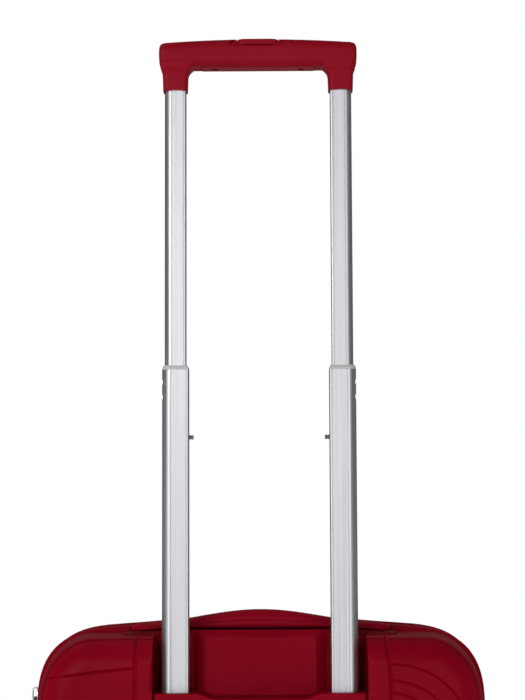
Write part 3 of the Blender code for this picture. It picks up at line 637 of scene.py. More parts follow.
def rear_shell():
    tops = both_tubs(on_top, 0) + both_tubs(on_side, 0)
    shell = half_solid(-1, 0, soft_rim=True)
    shell = joined(shell, prism(rounded((-46, -14.6), (382.5, 466.5), 7.0), "x", -HALF_WIDTH, -182))
    shell = cut(shell, *caster_pockets(-1, 0), well(0), well_edge())
    panel = [(-57, -60.8), (-57, -62), (-48, -67.4), (48, -67.4), (57, -62), (57, -60.8)]
    shell = cut(joined(shell, prism(panel, "z", 470, 520), ridge()), *tops)
    shell = bevelled(shell, 1.3, 3, 38)
    space = half_solid(-1, WALL, RIM_Y - 1, 5, 10)
    walls = [*caster_pockets(-1, WALL), well(WALL), *both_tubs(on_top, WALL), *both_tubs(on_side, WALL)]
    shell = cut(shell, cut(space, *walls))
    holes = [prism(rounded((-40, -19), (392, 459), 3.0), "x", -218, -178)]
    for side in (-1, 1):
        x = span(side, TUBE_X + 13.8, TUBE_X - 18.6)
        holes.append(box(x, (TUBE_Y - 9.7, TUBE_Y + 9.7), (452, 477)))
    for to_case in (on_top, on_side):
        for end in (-1, 1):
            holes.append(local_box(span(end, 96, 114), (-9, 9), (-50.8, -5), to_case))
    return engraved(cut(shell, *holes), -1)


def front_shell():
    shell = half_solid(1, 0, soft_rim=True)
    shell = bevelled(cut(shell, *caster_pockets(1, 0)), 1.3, 3, 38)
    shell = cut(shell, cut(half_solid(1, WALL, RIM_Y - 1, 5, 10), *caster_pockets(1, WALL)))
    return engraved(shell, 1)


piece("rear_shell_skin", rear_shell(), RED, "rear_half", "rear_shell", 28)
piece("front_shell_skin", front_shell(), RED, "front_half", "front_shell", 28)

# ---------------------------------------------------------------- zip


def lengthwise(points, pitch):
    """Places every pitch mm along an open line: ((a, b), direction)."""
    places, left = [], 0.0
    for first, second in zip(points, points[1:]):
        start, end = Vector(first), Vector(second)
        length = (end - start).length
        if length < 1e-6:
            continue
        ahead = (end - start) / length
        while left < length:
            places.append((start + ahead * left, ahead))
            left += pitch
        left -= length
    return places


def ring_round(centre, spoke, other, radius, corners):
    """A round ring of points about a centre, in the plane of two unit vectors."""
    turns = [2 * math.pi * corner / corners for corner in range(corners)]
    return [centre + spoke * radius * math.cos(turn) + other * radius * math.sin(turn) for turn in turns]


def coil(side_y):
    """The zip's coil, as one wire wound along the open side of the case."""
    pitch, turn_steps, wire = 2.1, 10, 0.4
    rings = []
    for number, (at, ahead) in enumerate(lengthwise(case_outline(1.95), pitch / turn_steps)):
        out = Vector((ahead.y, -ahead.x))
        turn = 2 * math.pi * number / turn_steps
        along = Vector((ahead.x, 0, ahead.y))
        spoke = Vector((out.x * math.cos(turn), side_y * math.sin(turn), out.y * math.cos(turn)))
        centre = Vector((at.x, side_y * 1.8, at.y))
        centre += Vector((spoke.x * 1.15, spoke.y * 1.3, spoke.z * 1.15))
        rings.append(ring_round(centre, spoke, along, wire, 5))
    return skin(rings)


def dashes(path, y, pitch=3.4, radius=0.3):
    """A row of stitches along a path of (x, z)."""
    length, sideways = 2.4, Vector((0, 1, 0))
    mesh = bmesh.new()
    for at, ahead in lengthwise(path, pitch):
        out = Vector((ahead.y, 0, -ahead.x))
        along = Vector((ahead.x, 0, ahead.y))
        middle = Vector((at.x, y, at.y)) + along * length / 2
        rings = []
        for place, size in ((-0.5, 0.45), (-0.32, 1.0), (0.32, 1.0), (0.5, 0.45)):
            rings.append(ring_round(middle + along * place * length, out, sideways, radius * size, 6))
        mesh = merged(mesh, skin(rings))
    return mesh


def hoop(section, side_y):
    """A band round the case: section holds (inset, distance from the parting plane)."""
    return stacked("y", [(side_y * y, case_outline(inset)) for inset, y in section], closed=True)


TAPE_SECTION = [(3.0, 17.2), (3.15, 14), (3.3, 9), (3.25, 5), (3.3, 0.04)]
TAPE_SECTION += [(4.2, 0.04), (4.25, 5), (4.3, 9), (4.25, 14), (4.1, 17.2)]
for half, side_y in (("rear", -1), ("front", 1)):
    body = f"{half}_half"
    piece(f"{half}_tape", hoop(TAPE_SECTION, side_y), TAPE, body, f"{half}_zip_tape")
    piece(f"{half}_coil", coil(side_y), TEETH, body, None, 80, False)
    stitches = dashes(case_outline(3.2), side_y * 5.4)
    piece(f"{half}_tape_stitches", stitches, TEETH, body, None, 80, False)


HINGE_LOW, HINGE_LENGTH, HINGE_X = 131, 318, 192.7


def gusset():
    """The hinge's fabric, one thin sheet from rim to rim inside the tapes, a little slack between them."""
    rows = []
    for i in range(101):
        z = HINGE_LOW + HINGE_LENGTH * i / 100
        row = []
        for j in range(17):
            across = -1 + 2 * j / 16
            sag = 0.7 * (1 - across**2) * (1 + 0.5 * noise.noise((0, 0, z / 21)))
            row.append((HINGE_X - sag, 17.0 * across, z))
        rows.append(row)
    return sheet_mesh(rows)


strip = piece("hinge_fabric", thickened(gusset(), 0.6), TAPE, None, "hinge_gusset", 60, False)
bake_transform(strip)


UPPER_SLIDER_Z, LOWER_SLIDER_Z, TAB_DROP = 466.0, 446.0, 9.5


def slider(z, side_z):
    """A coil slider: a waisted plate and a loop that holds the pull tab."""
    half = [(5.4, -5), (4.4, 0), (4.6, 5.5), (2.8, 8.4)]
    plan = [(-y, up) for y, up in half] + [(0, 8.7)] + half[::-1] + [(4.6, -8.0), (-4.6, -8.0)]
    plate = bevelled(prism([(y, z + side_z * up) for y, up in plan], "x", -200.4, -198.6), 0.45)
    outer = rounded((-204.9, -198.9), (z - 5.0, z + 10.2), 2.9, 8)
    inner = rounded((-203.6, -196), (z - 3.4, z + 8.7), 1.9, 8)
    loop = cut(prism(outer, "y", -1.35, 1.35), prism(inner, "y", -5, 5))
    return merged(plate, bevelled(loop, 0.5, 3, 40))


def pull_tab(z, drop):
    """A tab from its slider to the lock, slanting down by drop on the way."""

    def slanted(points):
        return [(y, z + up - drop * min(max((-5.0 - y) / 12.0, 0.0), 1.0)) for y, up in points]

    half = [(4.0, 1.45), (-4.6, 1.45), (-7.0, 3.9), (-8.5, 4.1)]
    half += [(-17, 4.1), (-19.2, 4.0), (-20.4, 3.2), (-20.8, 2.0)]
    tab = prism(slanted(half + [(y, -up) for y, up in reversed(half)]), "x", -202.6, -201.1)
    tab = cut(tab, prism(slanted(rounded((-17.4, -9.5), (-2.1, 2.1), 1.6)), "x", -204, -202.2))
    return bevelled(tab, 0.35)


for name, z, side_z, drop in (("upper", UPPER_SLIDER_Z, 1, TAB_DROP), ("lower", LOWER_SLIDER_Z, -1, 0.0)):
    piece(f"{name}_zip_slider", slider(z, side_z), ZINC, f"zip_slider_{name}", f"slider_{name}")
    piece(f"{name}_pull_tab", pull_tab(z, drop), ZINC, f"pull_tab_{name}", f"puller_{name}")

# ---------------------------------------------------------------- lock

DIAL_X, DIAL_Y, DIAL_RADIUS, LOCK_FACE = -193.5, -29.5, 8.15, -200.6
DIAL_Z = (418, 409, 400)


def pan_screw(at, facing, radius, height):
    """A small round screw head with a cross slot. facing is a unit vector along an axis."""
    profile = [(radius, -1.2), (radius, 0.1), (radius * 0.9, height * 0.8), (radius * 0.55, height)]
    head = turned("z", 0, 0, profile, 24)
    for turn in (0, 1):
        size = (radius * 0.62, radius * 0.16)
        x, y = size if turn else size[::-1]
        head = cut(head, box((-x, x), (-y, y), (height - 0.55, height + 2)))
    direction = Vector((0, 0, 1)).rotation_difference(Vector(facing)).to_matrix().to_4x4()
    head.transform(Matrix.Translation(Vector(at)) @ direction)
    return head


def lock_plate():
    """The lock's body, with slots for the dials, the button, both pull tabs and a key."""
    flange = prism(rounded((-43, -15.5), (386, 463), 5.0, 10), "x", LOCK_FACE, -198.3)
    raised = prism(rounded((-40.6, -18.2), (389.4, 437.6), 3.4, 8), "x", LOCK_FACE - 0.5, -199)
    plate = bevelled(joined(flange, raised), 0.7, 4)
    plate = joined(plate, prism(rounded((-39.6, -19.4), (392.4, 458.6), 2.6), "x", -199, -180))
    tools = [cylinder("z", DIAL_X, DIAL_Y, 8.9, z - 3.4, z + 3.4) for z in DIAL_Z]
    tools.append(prism(rounded((-35.9, -23.1), (425.6, 438.4), 2.4), "x", LOCK_FACE - 5, -187))
    for z in (UPPER_SLIDER_Z - TAB_DROP, LOWER_SLIDER_Z):
        slot = rounded((-22.0, -12), (z - 3.3, z + 3.3), 1.2)
        tools.append(prism(slot, "x", LOCK_FACE - 5, LOCK_FACE + 1.5))
    tools.append(cylinder("x", DIAL_Y - 3, 452, 3.1, LOCK_FACE - 5, LOCK_FACE + 0.9, 32))
    tools.append(box((LOCK_FACE - 5, LOCK_FACE + 4), (DIAL_Y - 3.6, DIAL_Y - 2.4), (450, 454)))
    return cut(plate, *tools)


def number_dial(z):
    """A wheel with ten shallow hollows for its numbers."""
    rings = []
    for along, shrink in ((-3.0, 0.5), (-2.5, 0.0), (2.5, 0.0), (3.0, 0.5)):
        ring = []
        for i in range(80):
            turn = 2 * math.pi * (i + 0.5) / 80
            radius = DIAL_RADIUS - shrink - 0.22 * max(0.0, math.cos(10 * turn)) ** 6
            ring.append((DIAL_X + radius * math.cos(turn), DIAL_Y + radius * math.sin(turn), z + along))
        rings.append(ring)
    return skin(rings)


def digits(z, shown):
    """The ten numbers of a dial, as thin raised figures. shown is the one that faces out."""
    whole = bmesh.new()
    for number in range(10):
        curve = bpy.data.curves.new("figure", "FONT")
        curve.body = str(number)
        curve.size = 4.6
        curve.align_x, curve.align_y = "CENTER", "CENTER"
        curve.extrude = 0.06
        made = bpy.data.objects.new("figure", curve)
        bpy.context.scene.collection.objects.link(made)
        mesh = evaluated(made)
        bpy.data.objects.remove(made)
        bpy.data.curves.remove(curve)
        angle = math.pi + 2 * math.pi * (number - shown) / 10
        facing = Vector((math.cos(angle), math.sin(angle), 0))
        right = Vector((0, 0, 1)).cross(facing)
        axes = Matrix((right, Vector((0, 0, 1)), facing)).transposed().to_4x4()
        mesh.transform(Matrix.Translation(Vector((DIAL_X, DIAL_Y, z)) + facing * 8.12) @ axes)
        whole = merged(whole, mesh)
    return whole


def latch_button():
    """The lock's push button, with three grooves for the thumb."""
    button = bevelled(prism(rounded((-35.5, -23.5), (426, 438), 2.0), "x", LOCK_FACE - 1.6, -191), 0.6, 4)
    for z in (429.5, 432, 434.5):
        button = cut(button, box((-210, LOCK_FACE - 1.2), (-33, -26), (z - 0.4, z + 0.4)))
    return button


plate = merged(lock_plate(), pan_screw((LOCK_FACE, -39.2, 459), (-1, 0, 0), 1.5, 0.4))
plate = merged(plate, pan_screw((LOCK_FACE, -29.5, 388.2), (-1, 0, 0), 1.3, 0.3))
piece("lock_plate", plate, BLACK, "rear_half", "lock_body")
piece("latch_button", latch_button(), ZINC, "lock_latch_button", "lock_button")
for number, (z, shown) in enumerate(zip(DIAL_Z, (3, 0, 7)), start=1):
    body = f"dial_{number}"
    dial = number_dial(z)
    piece(f"number_dial_{number}", dial, BLACK_GLOSS, body, f"lock_dial_{number}", 25)
    piece(f"dial_figures_{number}", digits(z, shown), NUMERAL, body, None, 25, False)

# ---------------------------------------------------------------- carry handles

HANDLE_HALF, HANDLE_HALF_WIDTH = 113, 12.6


def handle_top(along):
    turn = math.pi * min(abs(along), HANDLE_HALF) / HANDLE_HALF
    return -5.5 + 12.0 * max(0.5 + 0.5 * math.cos(turn), 0.0) ** 1.1


def handle_under(along):
    return -9.2 - 3.4 * min((along / HANDLE_HALF) ** 4, 1.0)


def handle_half_width(share):
    """Half the handle's width at this share of its half length, narrowing towards the ends."""
    return HANDLE_HALF_WIDTH * (1 - 0.34 * max((share - 0.7) / 0.3, 0.0) ** 2)


# Half of the grip's section, from its top to its underside, as shares of its half width and its height
HANDLE_SIDE = ((0.0, 1.0), (0.3, 0.985), (0.56, 0.93), (0.76, 0.83), (0.89, 0.7))
HANDLE_SIDE += ((0.955, 0.56), (0.965, 0.51), (0.925, 0.485), (0.925, 0.42), (0.985, 0.4))
HANDLE_SIDE += ((1.0, 0.33), (0.985, 0.22), (0.93, 0.1), (0.8, 0.02), (0.6, 0.0))


def carry_handle(to_case):
    """An arched grip with a seam along each side and leaf-shaped ends."""
    rings = []
    places = [-113, -112.7, -112, -110.8, -109, -106.6, -103.5, -99, -94] + [-88 + 4 * i for i in range(22)]
    for along in places + [-place for place in reversed(places)]:
        fade = min((HANDLE_HALF - abs(along)) / 13.0, 1.0)
        close = max(1 - (1 - fade) ** 2.2, 0.0) ** 0.5
        half = handle_half_width(abs(along) / HANDLE_HALF) * (0.12 + 0.88 * close)
        low, high = handle_under(along), handle_top(along)
        middle = low + 0.42 * (high - low)
        tall = (high - low) * (0.2 + 0.8 * close)
        low = middle - 0.42 * tall
        section = [(a * half, low + b * tall) for a, b in HANDLE_SIDE]
        section += [(-a, b) for a, b in reversed(section[1:])]
        rings.append([to_case(along, across, up) for across, up in section])
    legs = [local_box(span(end, 100, 110), (-5, 5), (-27.3, -10.5), to_case, 1.2) for end in (-1, 1)]
    return merged(skin(rings), *legs)


def handle_base(to_case):
    """The tray under a carry handle, with a deep socket at each end and an opening for the fingers."""
    plate = local_prism(rounded((-118.6, 118.6), (-19.1, 19.1), 7.6, 8), -16.6, 0.0, to_case)
    rings = []
    for place in (-125, -113, -106, -98, -90, -80, -70, -60, 60, 70, 80, 90, 98, 106, 113, 125):
        top = handle_under(place) - 0.4
        section = [(-25, -17), (25, -17), (25, top - 0.6), (19.1, top - 0.3), (14, top), (-14, top)]
        section += [(-19.1, top - 0.3), (-25, top - 0.6)]
        rings.append([to_case(place, a, b) for a, b in section])
    tray = shared(plate, skin(rings))
    opening = local_prism(rounded((-50, 50), (-17.2, 17.2), 8.0, 8), -FAR, FAR, to_case)
    wells, sockets, slots = [], [], []
    for end in (-1, 1):
        wells.append(local_box(span(end, 98.8, 111.2), (-6.2, 6.2), (-14.5, FAR), to_case, 1.4))
        sockets.append(local_box(span(end, 96.5, 113.5), (-8.5, 8.5), (-30.8, -15.0), to_case))
        slots.append(local_box(span(end, 99.6, 110.4), (-5.4, 5.4), (-28.8, FAR), to_case, 1.2))
    tray = bevelled(cut(tray, opening, *wells), 0.6)
    return cut(joined(tray, *sockets), *slots)


def handle_studs(to_case):
    """The round end of a pin at each side of both ends of a handle."""
    along = 103.5
    half = handle_half_width(along / HANDLE_HALF) * 0.9
    studs = bmesh.new()
    for end in (-1, 1):
        for across in (-1, 1):
            stud = turned("z", 0, 0, [(1.7, -1.6), (1.7, 0.1), (1.35, 0.45), (0.7, 0.55)], 20)
            side = Vector(to_case(0, across, 0)) - Vector(to_case(0, 0, 0))
            turn = Vector((0, 0, 1)).rotation_difference(side).to_matrix().to_4x4()
            stud.transform(Matrix.Translation(Vector(to_case(end * along, across * half, -9.4))) @ turn)
            studs = merged(studs, stud)
    return studs


for name, to_case in (("top", on_top), ("side", on_side)):
    body = f"{name}_carry_handle"
    tray = handle_base(to_case)
    piece(f"{name}_grip", carry_handle(to_case), RED_FINE, body, f"{name}_handle", 60, False)
    piece(f"{name}_grip_studs", handle_studs(to_case), RED_FINE, body, None)
    piece(f"{name}_grip_base", tray, RED_DARK, "rear_half", f"{name}_handle_base")

# ---------------------------------------------------------------- trolley handle

INNER_TUBE, MID_TUBE, TUBE_WALL = (9.35, 5.9), (11.6, 7.5), 1.2
PIN_Z, MID_TUBE_Z = 696, (412, 754.1)
GRIP_HALF, GRIP_SCREWS = 86, (-37.5, 37.5)


def grown(size, margin):
    return (size[0] + margin, size[1] + margin)


def tube_outline(side, size, slot=None, shift=0.0, lines=False):
    """A tube's section: flat in front, round on its outer side. lines adds the fine ones left by the die."""
    half_width, half_depth = size
    bow, corner = 0.6 * half_width, 1.2
    marks = []
    for at in (bow - half_width + 0.7, half_width - 2.3) if lines else ():
        marks += [(at - 0.32, 0.0), (at - 0.1, 0.26), (at + 0.1, 0.26), (at + 0.32, 0.0)]
    plan = []
    for i in range(33):
        turn = math.radians(90 + 180 * i / 32)
        out, deep = math.cos(turn), math.sin(turn)
        across = math.copysign(abs(out) ** 1.12, out)
        plan.append((bow - half_width + bow * across, half_depth * math.copysign(abs(deep) ** 1.12, deep)))
    plan += [(at, deep - half_depth) for at, deep in marks]
    plan += arc(half_width - corner, corner - half_depth, corner, corner, 270, 360, 6)
    if slot:
        depth, half = slot
        bottom = half_width - depth
        plan += [(half_width, -half), (bottom, -half), (bottom, half), (half_width, half)]
    plan += arc(half_width - corner, half_depth - corner, corner, corner, 0, 90, 6)
    plan += [(at, half_depth - deep) for at, deep in reversed(marks)]
    return [(side * (TUBE_X - shift - inwards), TUBE_Y + y) for inwards, y in plan]


def inner_tube(side):
    hollow = tube_outline(side, (6.25, INNER_TUBE[1] - TUBE_WALL), shift=-1.9)
    outside = prism(tube_outline(side, INNER_TUBE, (3.8, 2.6), lines=True), "z", 690, 1014)
    return cut(outside, prism(hollow, "z", 680, 1020))


def mid_tube(side):
    outside = prism(tube_outline(side, MID_TUBE, lines=True), "z", *MID_TUBE_Z)
    inside = prism(tube_outline(side, grown(MID_TUBE, -TUBE_WALL)), "z", 400, 760)
    pin_hole = cylinder("x", TUBE_Y, PIN_Z, 2.25, *span(side, TUBE_X, TUBE_X - 24), 24)
    tube = cut(outside, inside, pin_hole)
    dent = [(0.5, TUBE_Y - 4), (2.9, TUBE_Y - 2.8), (2.9, TUBE_Y + 2.8), (0.5, TUBE_Y + 4)]
    for z in (743.5, 730.5):
        tube = cut(tube, turned("y", side * (TUBE_X + 13.4), z, dent, 32))
    return tube


def mid_collar(side):
    """The plastic ring on top of a middle tube."""
    profile = [(754.2, -0.15), (754.9, 0.0), (755.9, -0.15), (756.7, -0.6)]
    profile += [(757.4, -1.2), (757.8, -1.4), (758, -1.4)]
    collar = stacked("z", [(z, tube_outline(side, grown(MID_TUBE, margin))) for z, margin in profile])
    return cut(collar, prism(tube_outline(side, grown(INNER_TUBE, 0.35)), "z", 740, 770))


def lock_pin(side):
    """The spring pin on the inner side of a middle tube."""
    wall = TUBE_X - MID_TUBE[0]
    profile = [(1.3, -1.2), (1.9, -0.9), (1.9, 1.2), (1.4, 1.5)]
    profile += [(1.4, 2.0), (1.9, 2.3), (1.9, 3.5), (1.5, 4.0)]
    return turned("x", TUBE_Y, PIN_Z, [(radius, side * (wall - out)) for radius, out in profile], 32)


def tube_bezel():
    """The floor of the well, with a keyed hole for each tube and a soft scoop for the fingers."""
    plate = prism(rounded((-90.6, 90.6), (-99.6, -62.4), 5.0, 8), "z", 472.4, 480)
    scoop = []
    for i in range(41):
        x = -60 + 3 * i
        share = min(max((abs(x) - 38) / 16, 0.0), 1.0)
        scoop.append((x, 475.4 + 4.7 * (0.5 - 0.5 * math.cos(math.pi * share))))
    scoop += [(60, 490), (-60, 490)]
    tool = prism(scoop, "y", -130, -50)
    plate = bevelled(cut(plate, tool), 0.7, 3, 30)
    holes = []
    for side in (-1, 1):
        holes.append(prism(tube_outline(side, grown(MID_TUBE, 0.5), (-4.6, 2.9)), "z", 460, 490))
        holes.append(prism(tube_outline(side, grown(MID_TUBE, 1.7), (-4.6, 4.1)), "z", 479.5, 490))
    return cut(plate, *holes)


for name, side in (("left", -1), ("right", 1)):
    tube, slot = inner_tube(side), "anodised_aluminium"
    piece(f"inner_profile_{name}", tube, METAL, "upper_stage", f"inner_tube_{name}", 22)
    piece(f"mid_profile_{name}", mid_tube(side), METAL, "mid_stage", f"mid_tube_{name}", 22)
    piece(f"collar_{name}", mid_collar(side), GREY, "mid_stage", f"mid_collar_{name}", 40)
    piece(f"stop_pin_{name}", lock_pin(side), STEEL, f"pin_{name}", f"lock_pin_{name}")
piece("well_floor", tube_bezel(), RED, "rear_half", "tube_bezel")


def grip_section(y, z):
    """The bar's section: round at the top, rounder still underneath."""
    plan = arc(y[1] - 8, z[1] - 8, 8, 8, 0, 90, 8) + arc(y[0] + 8, z[1] - 8, 8, 8, 90, 180, 8)
    return plan + arc(y[0] + 10, z[0] + 8, 10, 8, 180, 270, 8) + arc(y[1] - 10, z[0] + 8, 10, 8, 270, 360, 8)


def grip_bar(inset):
    """The bar, with rounded ends and a slightly crowned top, this far inside its own surface."""
    stations = [(GRIP_HALF, 3.4), (85.6, 2.2), (84.8, 1.1), (83.2, 0.35), (80.5, 0.0)]
    half = []
    for x, shrink in stations + [(x, 0.0) for x in (66, 52, 38, 24, 0)]:
        top = 1042.5 - 3.2 * (x / GRIP_HALF) ** 2
        low = 1017.3 + shrink * 1.4
        depth = (-97 + shrink + inset, -69 - shrink - inset)
        section = grip_section(depth, (low + inset, top - shrink - inset))
        half.append((x - inset if x > 70 else x, section))
    return stacked("x", [(-x, section) for x, section in half] + half[-2::-1])


# Where a tube goes into the grip: height, and how far its socket reaches outwards, inwards and in depth
SOCKET_STATIONS = [(995.0, 10.5, 10.6, 8.2), (1004, 10.8, 10.9, 8.6), (1010.3, 11.0, 11.1, 9.4)]
SOCKET_STATIONS += [(1012.6, 11.2, 11.5, 10.0), (1014.6, 11.6, 12.5, 10.8), (1016.0, 12.1, 13.4, 11.6)]
SOCKET_STATIONS += [(1017.0, 12.6, 14.4, 12.2), (1018.2, 13.1, 15.4, 12.6), (1026, 13.4, 16.0, 12.6)]


def grip_form():
    """The bar with both tube sockets, and a shallow recess in its front beside the button."""
    solid = [grip_bar(0.0)]
    for side in (-1, 1):
        stations = []
        for z, outwards, inwards, half_depth in SOCKET_STATIONS:
            x = span(side, TUBE_X + outwards, TUBE_X - inwards)
            stations.append((z, rounded(x, (TUBE_Y - half_depth, TUBE_Y + half_depth), 4.0, 5)))
        solid.append(stacked("z", stations))
    front = prism(rounded((-24.4, 24.4), (1034.9, 1041.4), 3.0, 8), "y", -130, TUBE_Y)
    return cut(joined(*solid), cut(front, grip_bar(1.5)))


def pill(margin):
    half, low, high = 19 + margin, TUBE_Y - 11.3 - margin, TUBE_Y + 8 + margin
    return rounded((-half, half), (low, high), 7.5 + margin, 10)


def grip_body():
    """The grip, hollowed for its button and yoke, with an arched lower edge at both tubes."""
    form = remeshed(grip_form(), 0.65, 4)
    tools = [prism(pill(0.4), "z", 1032.9, 1060)]
    tools.append(prism(rounded((-80, 80), (-93, -73), 5.0), "z", 1019.8, 1036.5))
    tools.append(prism(rounded((-50, 50), (TUBE_Y - 8, TUBE_Y + 8), 3.0), "z", 1000, 1021))
    for side in (-1, 1):
        tools.append(prism(tube_outline(side, grown(INNER_TUBE, 0.35)), "z", 990, 1021))
        tools.append(cylinder("y", side * TUBE_X, 940.2, 57.8, -110, -50, 240))
    return cut(form, *tools)


def grip_button():
    stem = ((1030, -1.6), (1036.9, -1.6), (1037.3, 0.0))
    head = ((1040.5, 0.0), (1041.4, -0.35), (1042, -0.95), (1042.3, -1.9))
    return stacked("z", [(z, pill(margin)) for z, margin in stem + head])


def grip_underside():
    plate = prism(rounded((-49.6, 49.6), (TUBE_Y - 7.6, TUBE_Y + 7.6), 2.6), "z", 1017.4, 1019.6)
    plate = bevelled(plate, 0.5)
    return cut(plate, *[cylinder("z", x, TUBE_Y, 3.0, 1000, 1018.9, 32) for x in GRIP_SCREWS])


piece("trolley_grip", grip_body(), RED_SOFT, "upper_stage", "grip_body", 30)
piece("grip_plate", grip_underside(), RED_SOFT, "upper_stage", "grip_underside")
screws = [pan_screw((x, TUBE_Y, 1019.0), (0, 0, -1), 2.6, 0.7) for x in GRIP_SCREWS]
piece("grip_screws", merged(bmesh.new(), *screws), BLACK, "upper_stage", None)
piece("push_button", grip_button(), RED_SOFT, "release_button", "grip_button")

# ---------------------------------------------------------------- casters

CASTER_X, CASTER_Y, TRAIL, WHEEL_RADIUS = 156.0, 58.0, 12, 22
SCREW_BACK, SCREW_SIDES = 28.5, (-9, 9)


def caster_housing(side_x, side_y):
    """The corner piece that a caster turns in, 1 mm proud of the shell, with its two screws."""
    body = shared(half_solid(side_y, -1.0), caster_pocket(side_x, side_y, -0.4))
    x, y = side_x * CASTER_X, side_y * CASTER_Y
    body = bevelled(body, 1.0, 3, 38)
    seat = [(23.4, 0), (23.4, 57), (22.6, 58.2), (21.8, 58.6)]
    body = cut(body, turned("z", x, y, seat, 64), cylinder("z", x, y, 4.9, 0, 82, 32))
    across = x - side_x * SCREW_BACK
    body = cut(body, *[cylinder("z", across, y + dy, 3.3, 0, 61.6, 24) for dy in SCREW_SIDES])
    for dy in SCREW_SIDES:
        body = merged(body, pan_screw((across, y + dy, 61.4), (0, 0, -1), 2.7, 0.7))
    return body


def caster_fork(x, y):
    """The turning part: a disc, a web between the wheels and a hood over them."""
    axis_y, axis_z = y - TRAIL, WHEEL_RADIUS
    rim = [(17.5, 46.4), (20.4, 46.9), (21.0, 47.8), (21.0, 53.6), (20.2, 54.5), (5, 54.5)]
    neck = [(12.5, 54.0), (12.5, 56.6), (11.8, 57.4), (5, 57.4)]
    disc = joined(turned("z", x, y, rim), turned("z", x, y, neck, 48))
    web = [(y + TRAIL, 49), (axis_y - 8, 49)] + arc(axis_y, axis_z, 8, 8, 190, 350, 14)
    hood = []
    for place, shrink in ((-18.3, 1.6), (-17.7, 0.6), (-16.6, 0.0), (16.6, 0.0), (17.7, 0.6), (18.3, 1.6)):
        section = arc(axis_y, axis_z, 26.8 - shrink, 26.8 - shrink, 16 + shrink, 154 - shrink, 36)
        section += arc(axis_y, axis_z, 24.2, 24.2, 154 - shrink, 16 + shrink, 36)
        hood.append((x + place, section))
    pin = cylinder("z", x, y, 4.5, 53, 79, 32)
    fork = joined(disc, pin, prism(web, "x", x - 5, x + 5), stacked("x", hood))
    seam = cut(cylinder("z", x, y, 24, 50.1, 50.9, 64), cylinder("z", x, y, 20.3, 50.1, 50.9, 64))
    return cut(fork, cylinder("x", axis_y, axis_z, 3.35, x - 30, x + 30, 24), seam)


def wheel_part(x, y, side, profile, segments, closed=False):
    """A turned part of a wheel: profile holds (radius, distance from the caster's middle)."""
    stations = [(radius, x + side * away) for radius, away in profile]
    return turned("x", y - TRAIL, WHEEL_RADIUS, stations, segments, closed)


def wheel_tyre(x, y, side):
    profile = [(17.6, 17.0), (19.6, 17.6), (21.0, 17.2), (21.8, 16.2), (22.0, 14.8)]
    profile += [(22.0, 12.6), (21.6, 12.3), (21.6, 11.9), (22.0, 11.6), (22.0, 9.2)]
    profile += [(21.8, 7.8), (21.0, 6.8), (19.6, 6.2), (17.6, 6.4)]
    return wheel_part(x, y, side, profile, 96, closed=True)


def wheel_hub(x, y, side):
    profile = [(8.2, 19.4), (9.0, 19.0), (9.6, 17.6), (11.0, 15.9), (16.0, 15.9), (17.0, 16.9), (18.4, 17.0)]
    profile += [(18.4, 6.5), (16.8, 6.2), (15.6, 7.4), (9.0, 7.4), (7.6, 6.0), (3.4, 5.9), (3.4, 17.8)]
    hub = wheel_part(x, y, side, profile, 72)
    for i in range(6):
        turn = math.radians(60 * i + 15)
        low, high = sorted((x + side * 14.6, x + side * 24))
        middle = (y - TRAIL + 13.4 * math.cos(turn), WHEEL_RADIUS + 13.4 * math.sin(turn))
        hub = cut(hub, cylinder("x", *middle, 1.9, low, high, 20))
    return hub


for end, side_y in (("rear", -1), ("front", 1)):
    for hand, side_x in (("left", -1), ("right", 1)):
        place = f"{end}_{hand}"
        x, y, body = side_x * CASTER_X, side_y * CASTER_Y, f"caster_{place}"
        housing, fork = caster_housing(side_x, side_y), caster_fork(x, y)
        axle = wheel_part(x, y, 1, [(2.6, -17.4), (3.0, -17.0), (3.0, 17.0), (2.6, 17.4)], 32)
        piece(f"housing_{place}", housing, BLACK, f"{end}_half", f"caster_housing_{place}")
        piece(f"fork_{place}", fork, BLACK, body, f"caster_fork_{place}")
        piece(f"axle_{place}", axle, ZINC, body, f"caster_axle_{place}")
        for letter, side in (("a", -1), ("b", 1)):
            body = f"wheel_{place}_{letter}_turning"
            tyre, hub = wheel_tyre(x, y, side), wheel_hub(x, y, side)
            piece(f"tyre_{place}_{letter}", tyre, TYRE, body, f"wheel_{place}_{letter}", 30)
            piece(f"hub_{place}_{letter}", hub, BLACK, body, None, 30)

# ---------------------------------------------------------------- side skids and the inside


def side_skid(side_y):
    """The long glide on the hinge side, with a ribbed pad at each end and three screws."""
    low, high, pad = 194.7, 197.4, 205.0
    plan = [(low, 120), (pad - 1.5, 122), (pad, 126), (pad, 158), (pad - 1.5, 162), (high, 168)]
    plan += [(x, 550 - z) for x, z in reversed(plan)]
    skid = bevelled(prism(plan, "y", *span(side_y, 28, 46)), 0.9, 4)
    for z in (135, 142, 149, 401, 408, 415):
        skid = cut(skid, box((pad - 0.8, pad + 5), span(side_y, 31, 43), (z - 0.9, z + 0.9)))
    for z in (185, 275, 365):
        skid = merged(skid, pan_screw((high, side_y * 37, z), (1, 0, 0), 2.8, 0.8))
    return skid


def lining(side_y, inset, floor_y, rim_y):
    """A fabric tray, stepped in over the casters."""
    cloth = 1.2
    outside = prism(body_outline(inset, 1, 14), "y", *span(side_y, rim_y, floor_y))
    space = prism(body_outline(inset + cloth, 1, 14), "y", *span(side_y, rim_y - 10, floor_y - cloth))
    tray = cut(outside, *caster_pockets(side_y, WALL + 1))
    return bevelled(cut(tray, cut(space, *caster_pockets(side_y, WALL + 2.2))), 0.35, 2, 50)


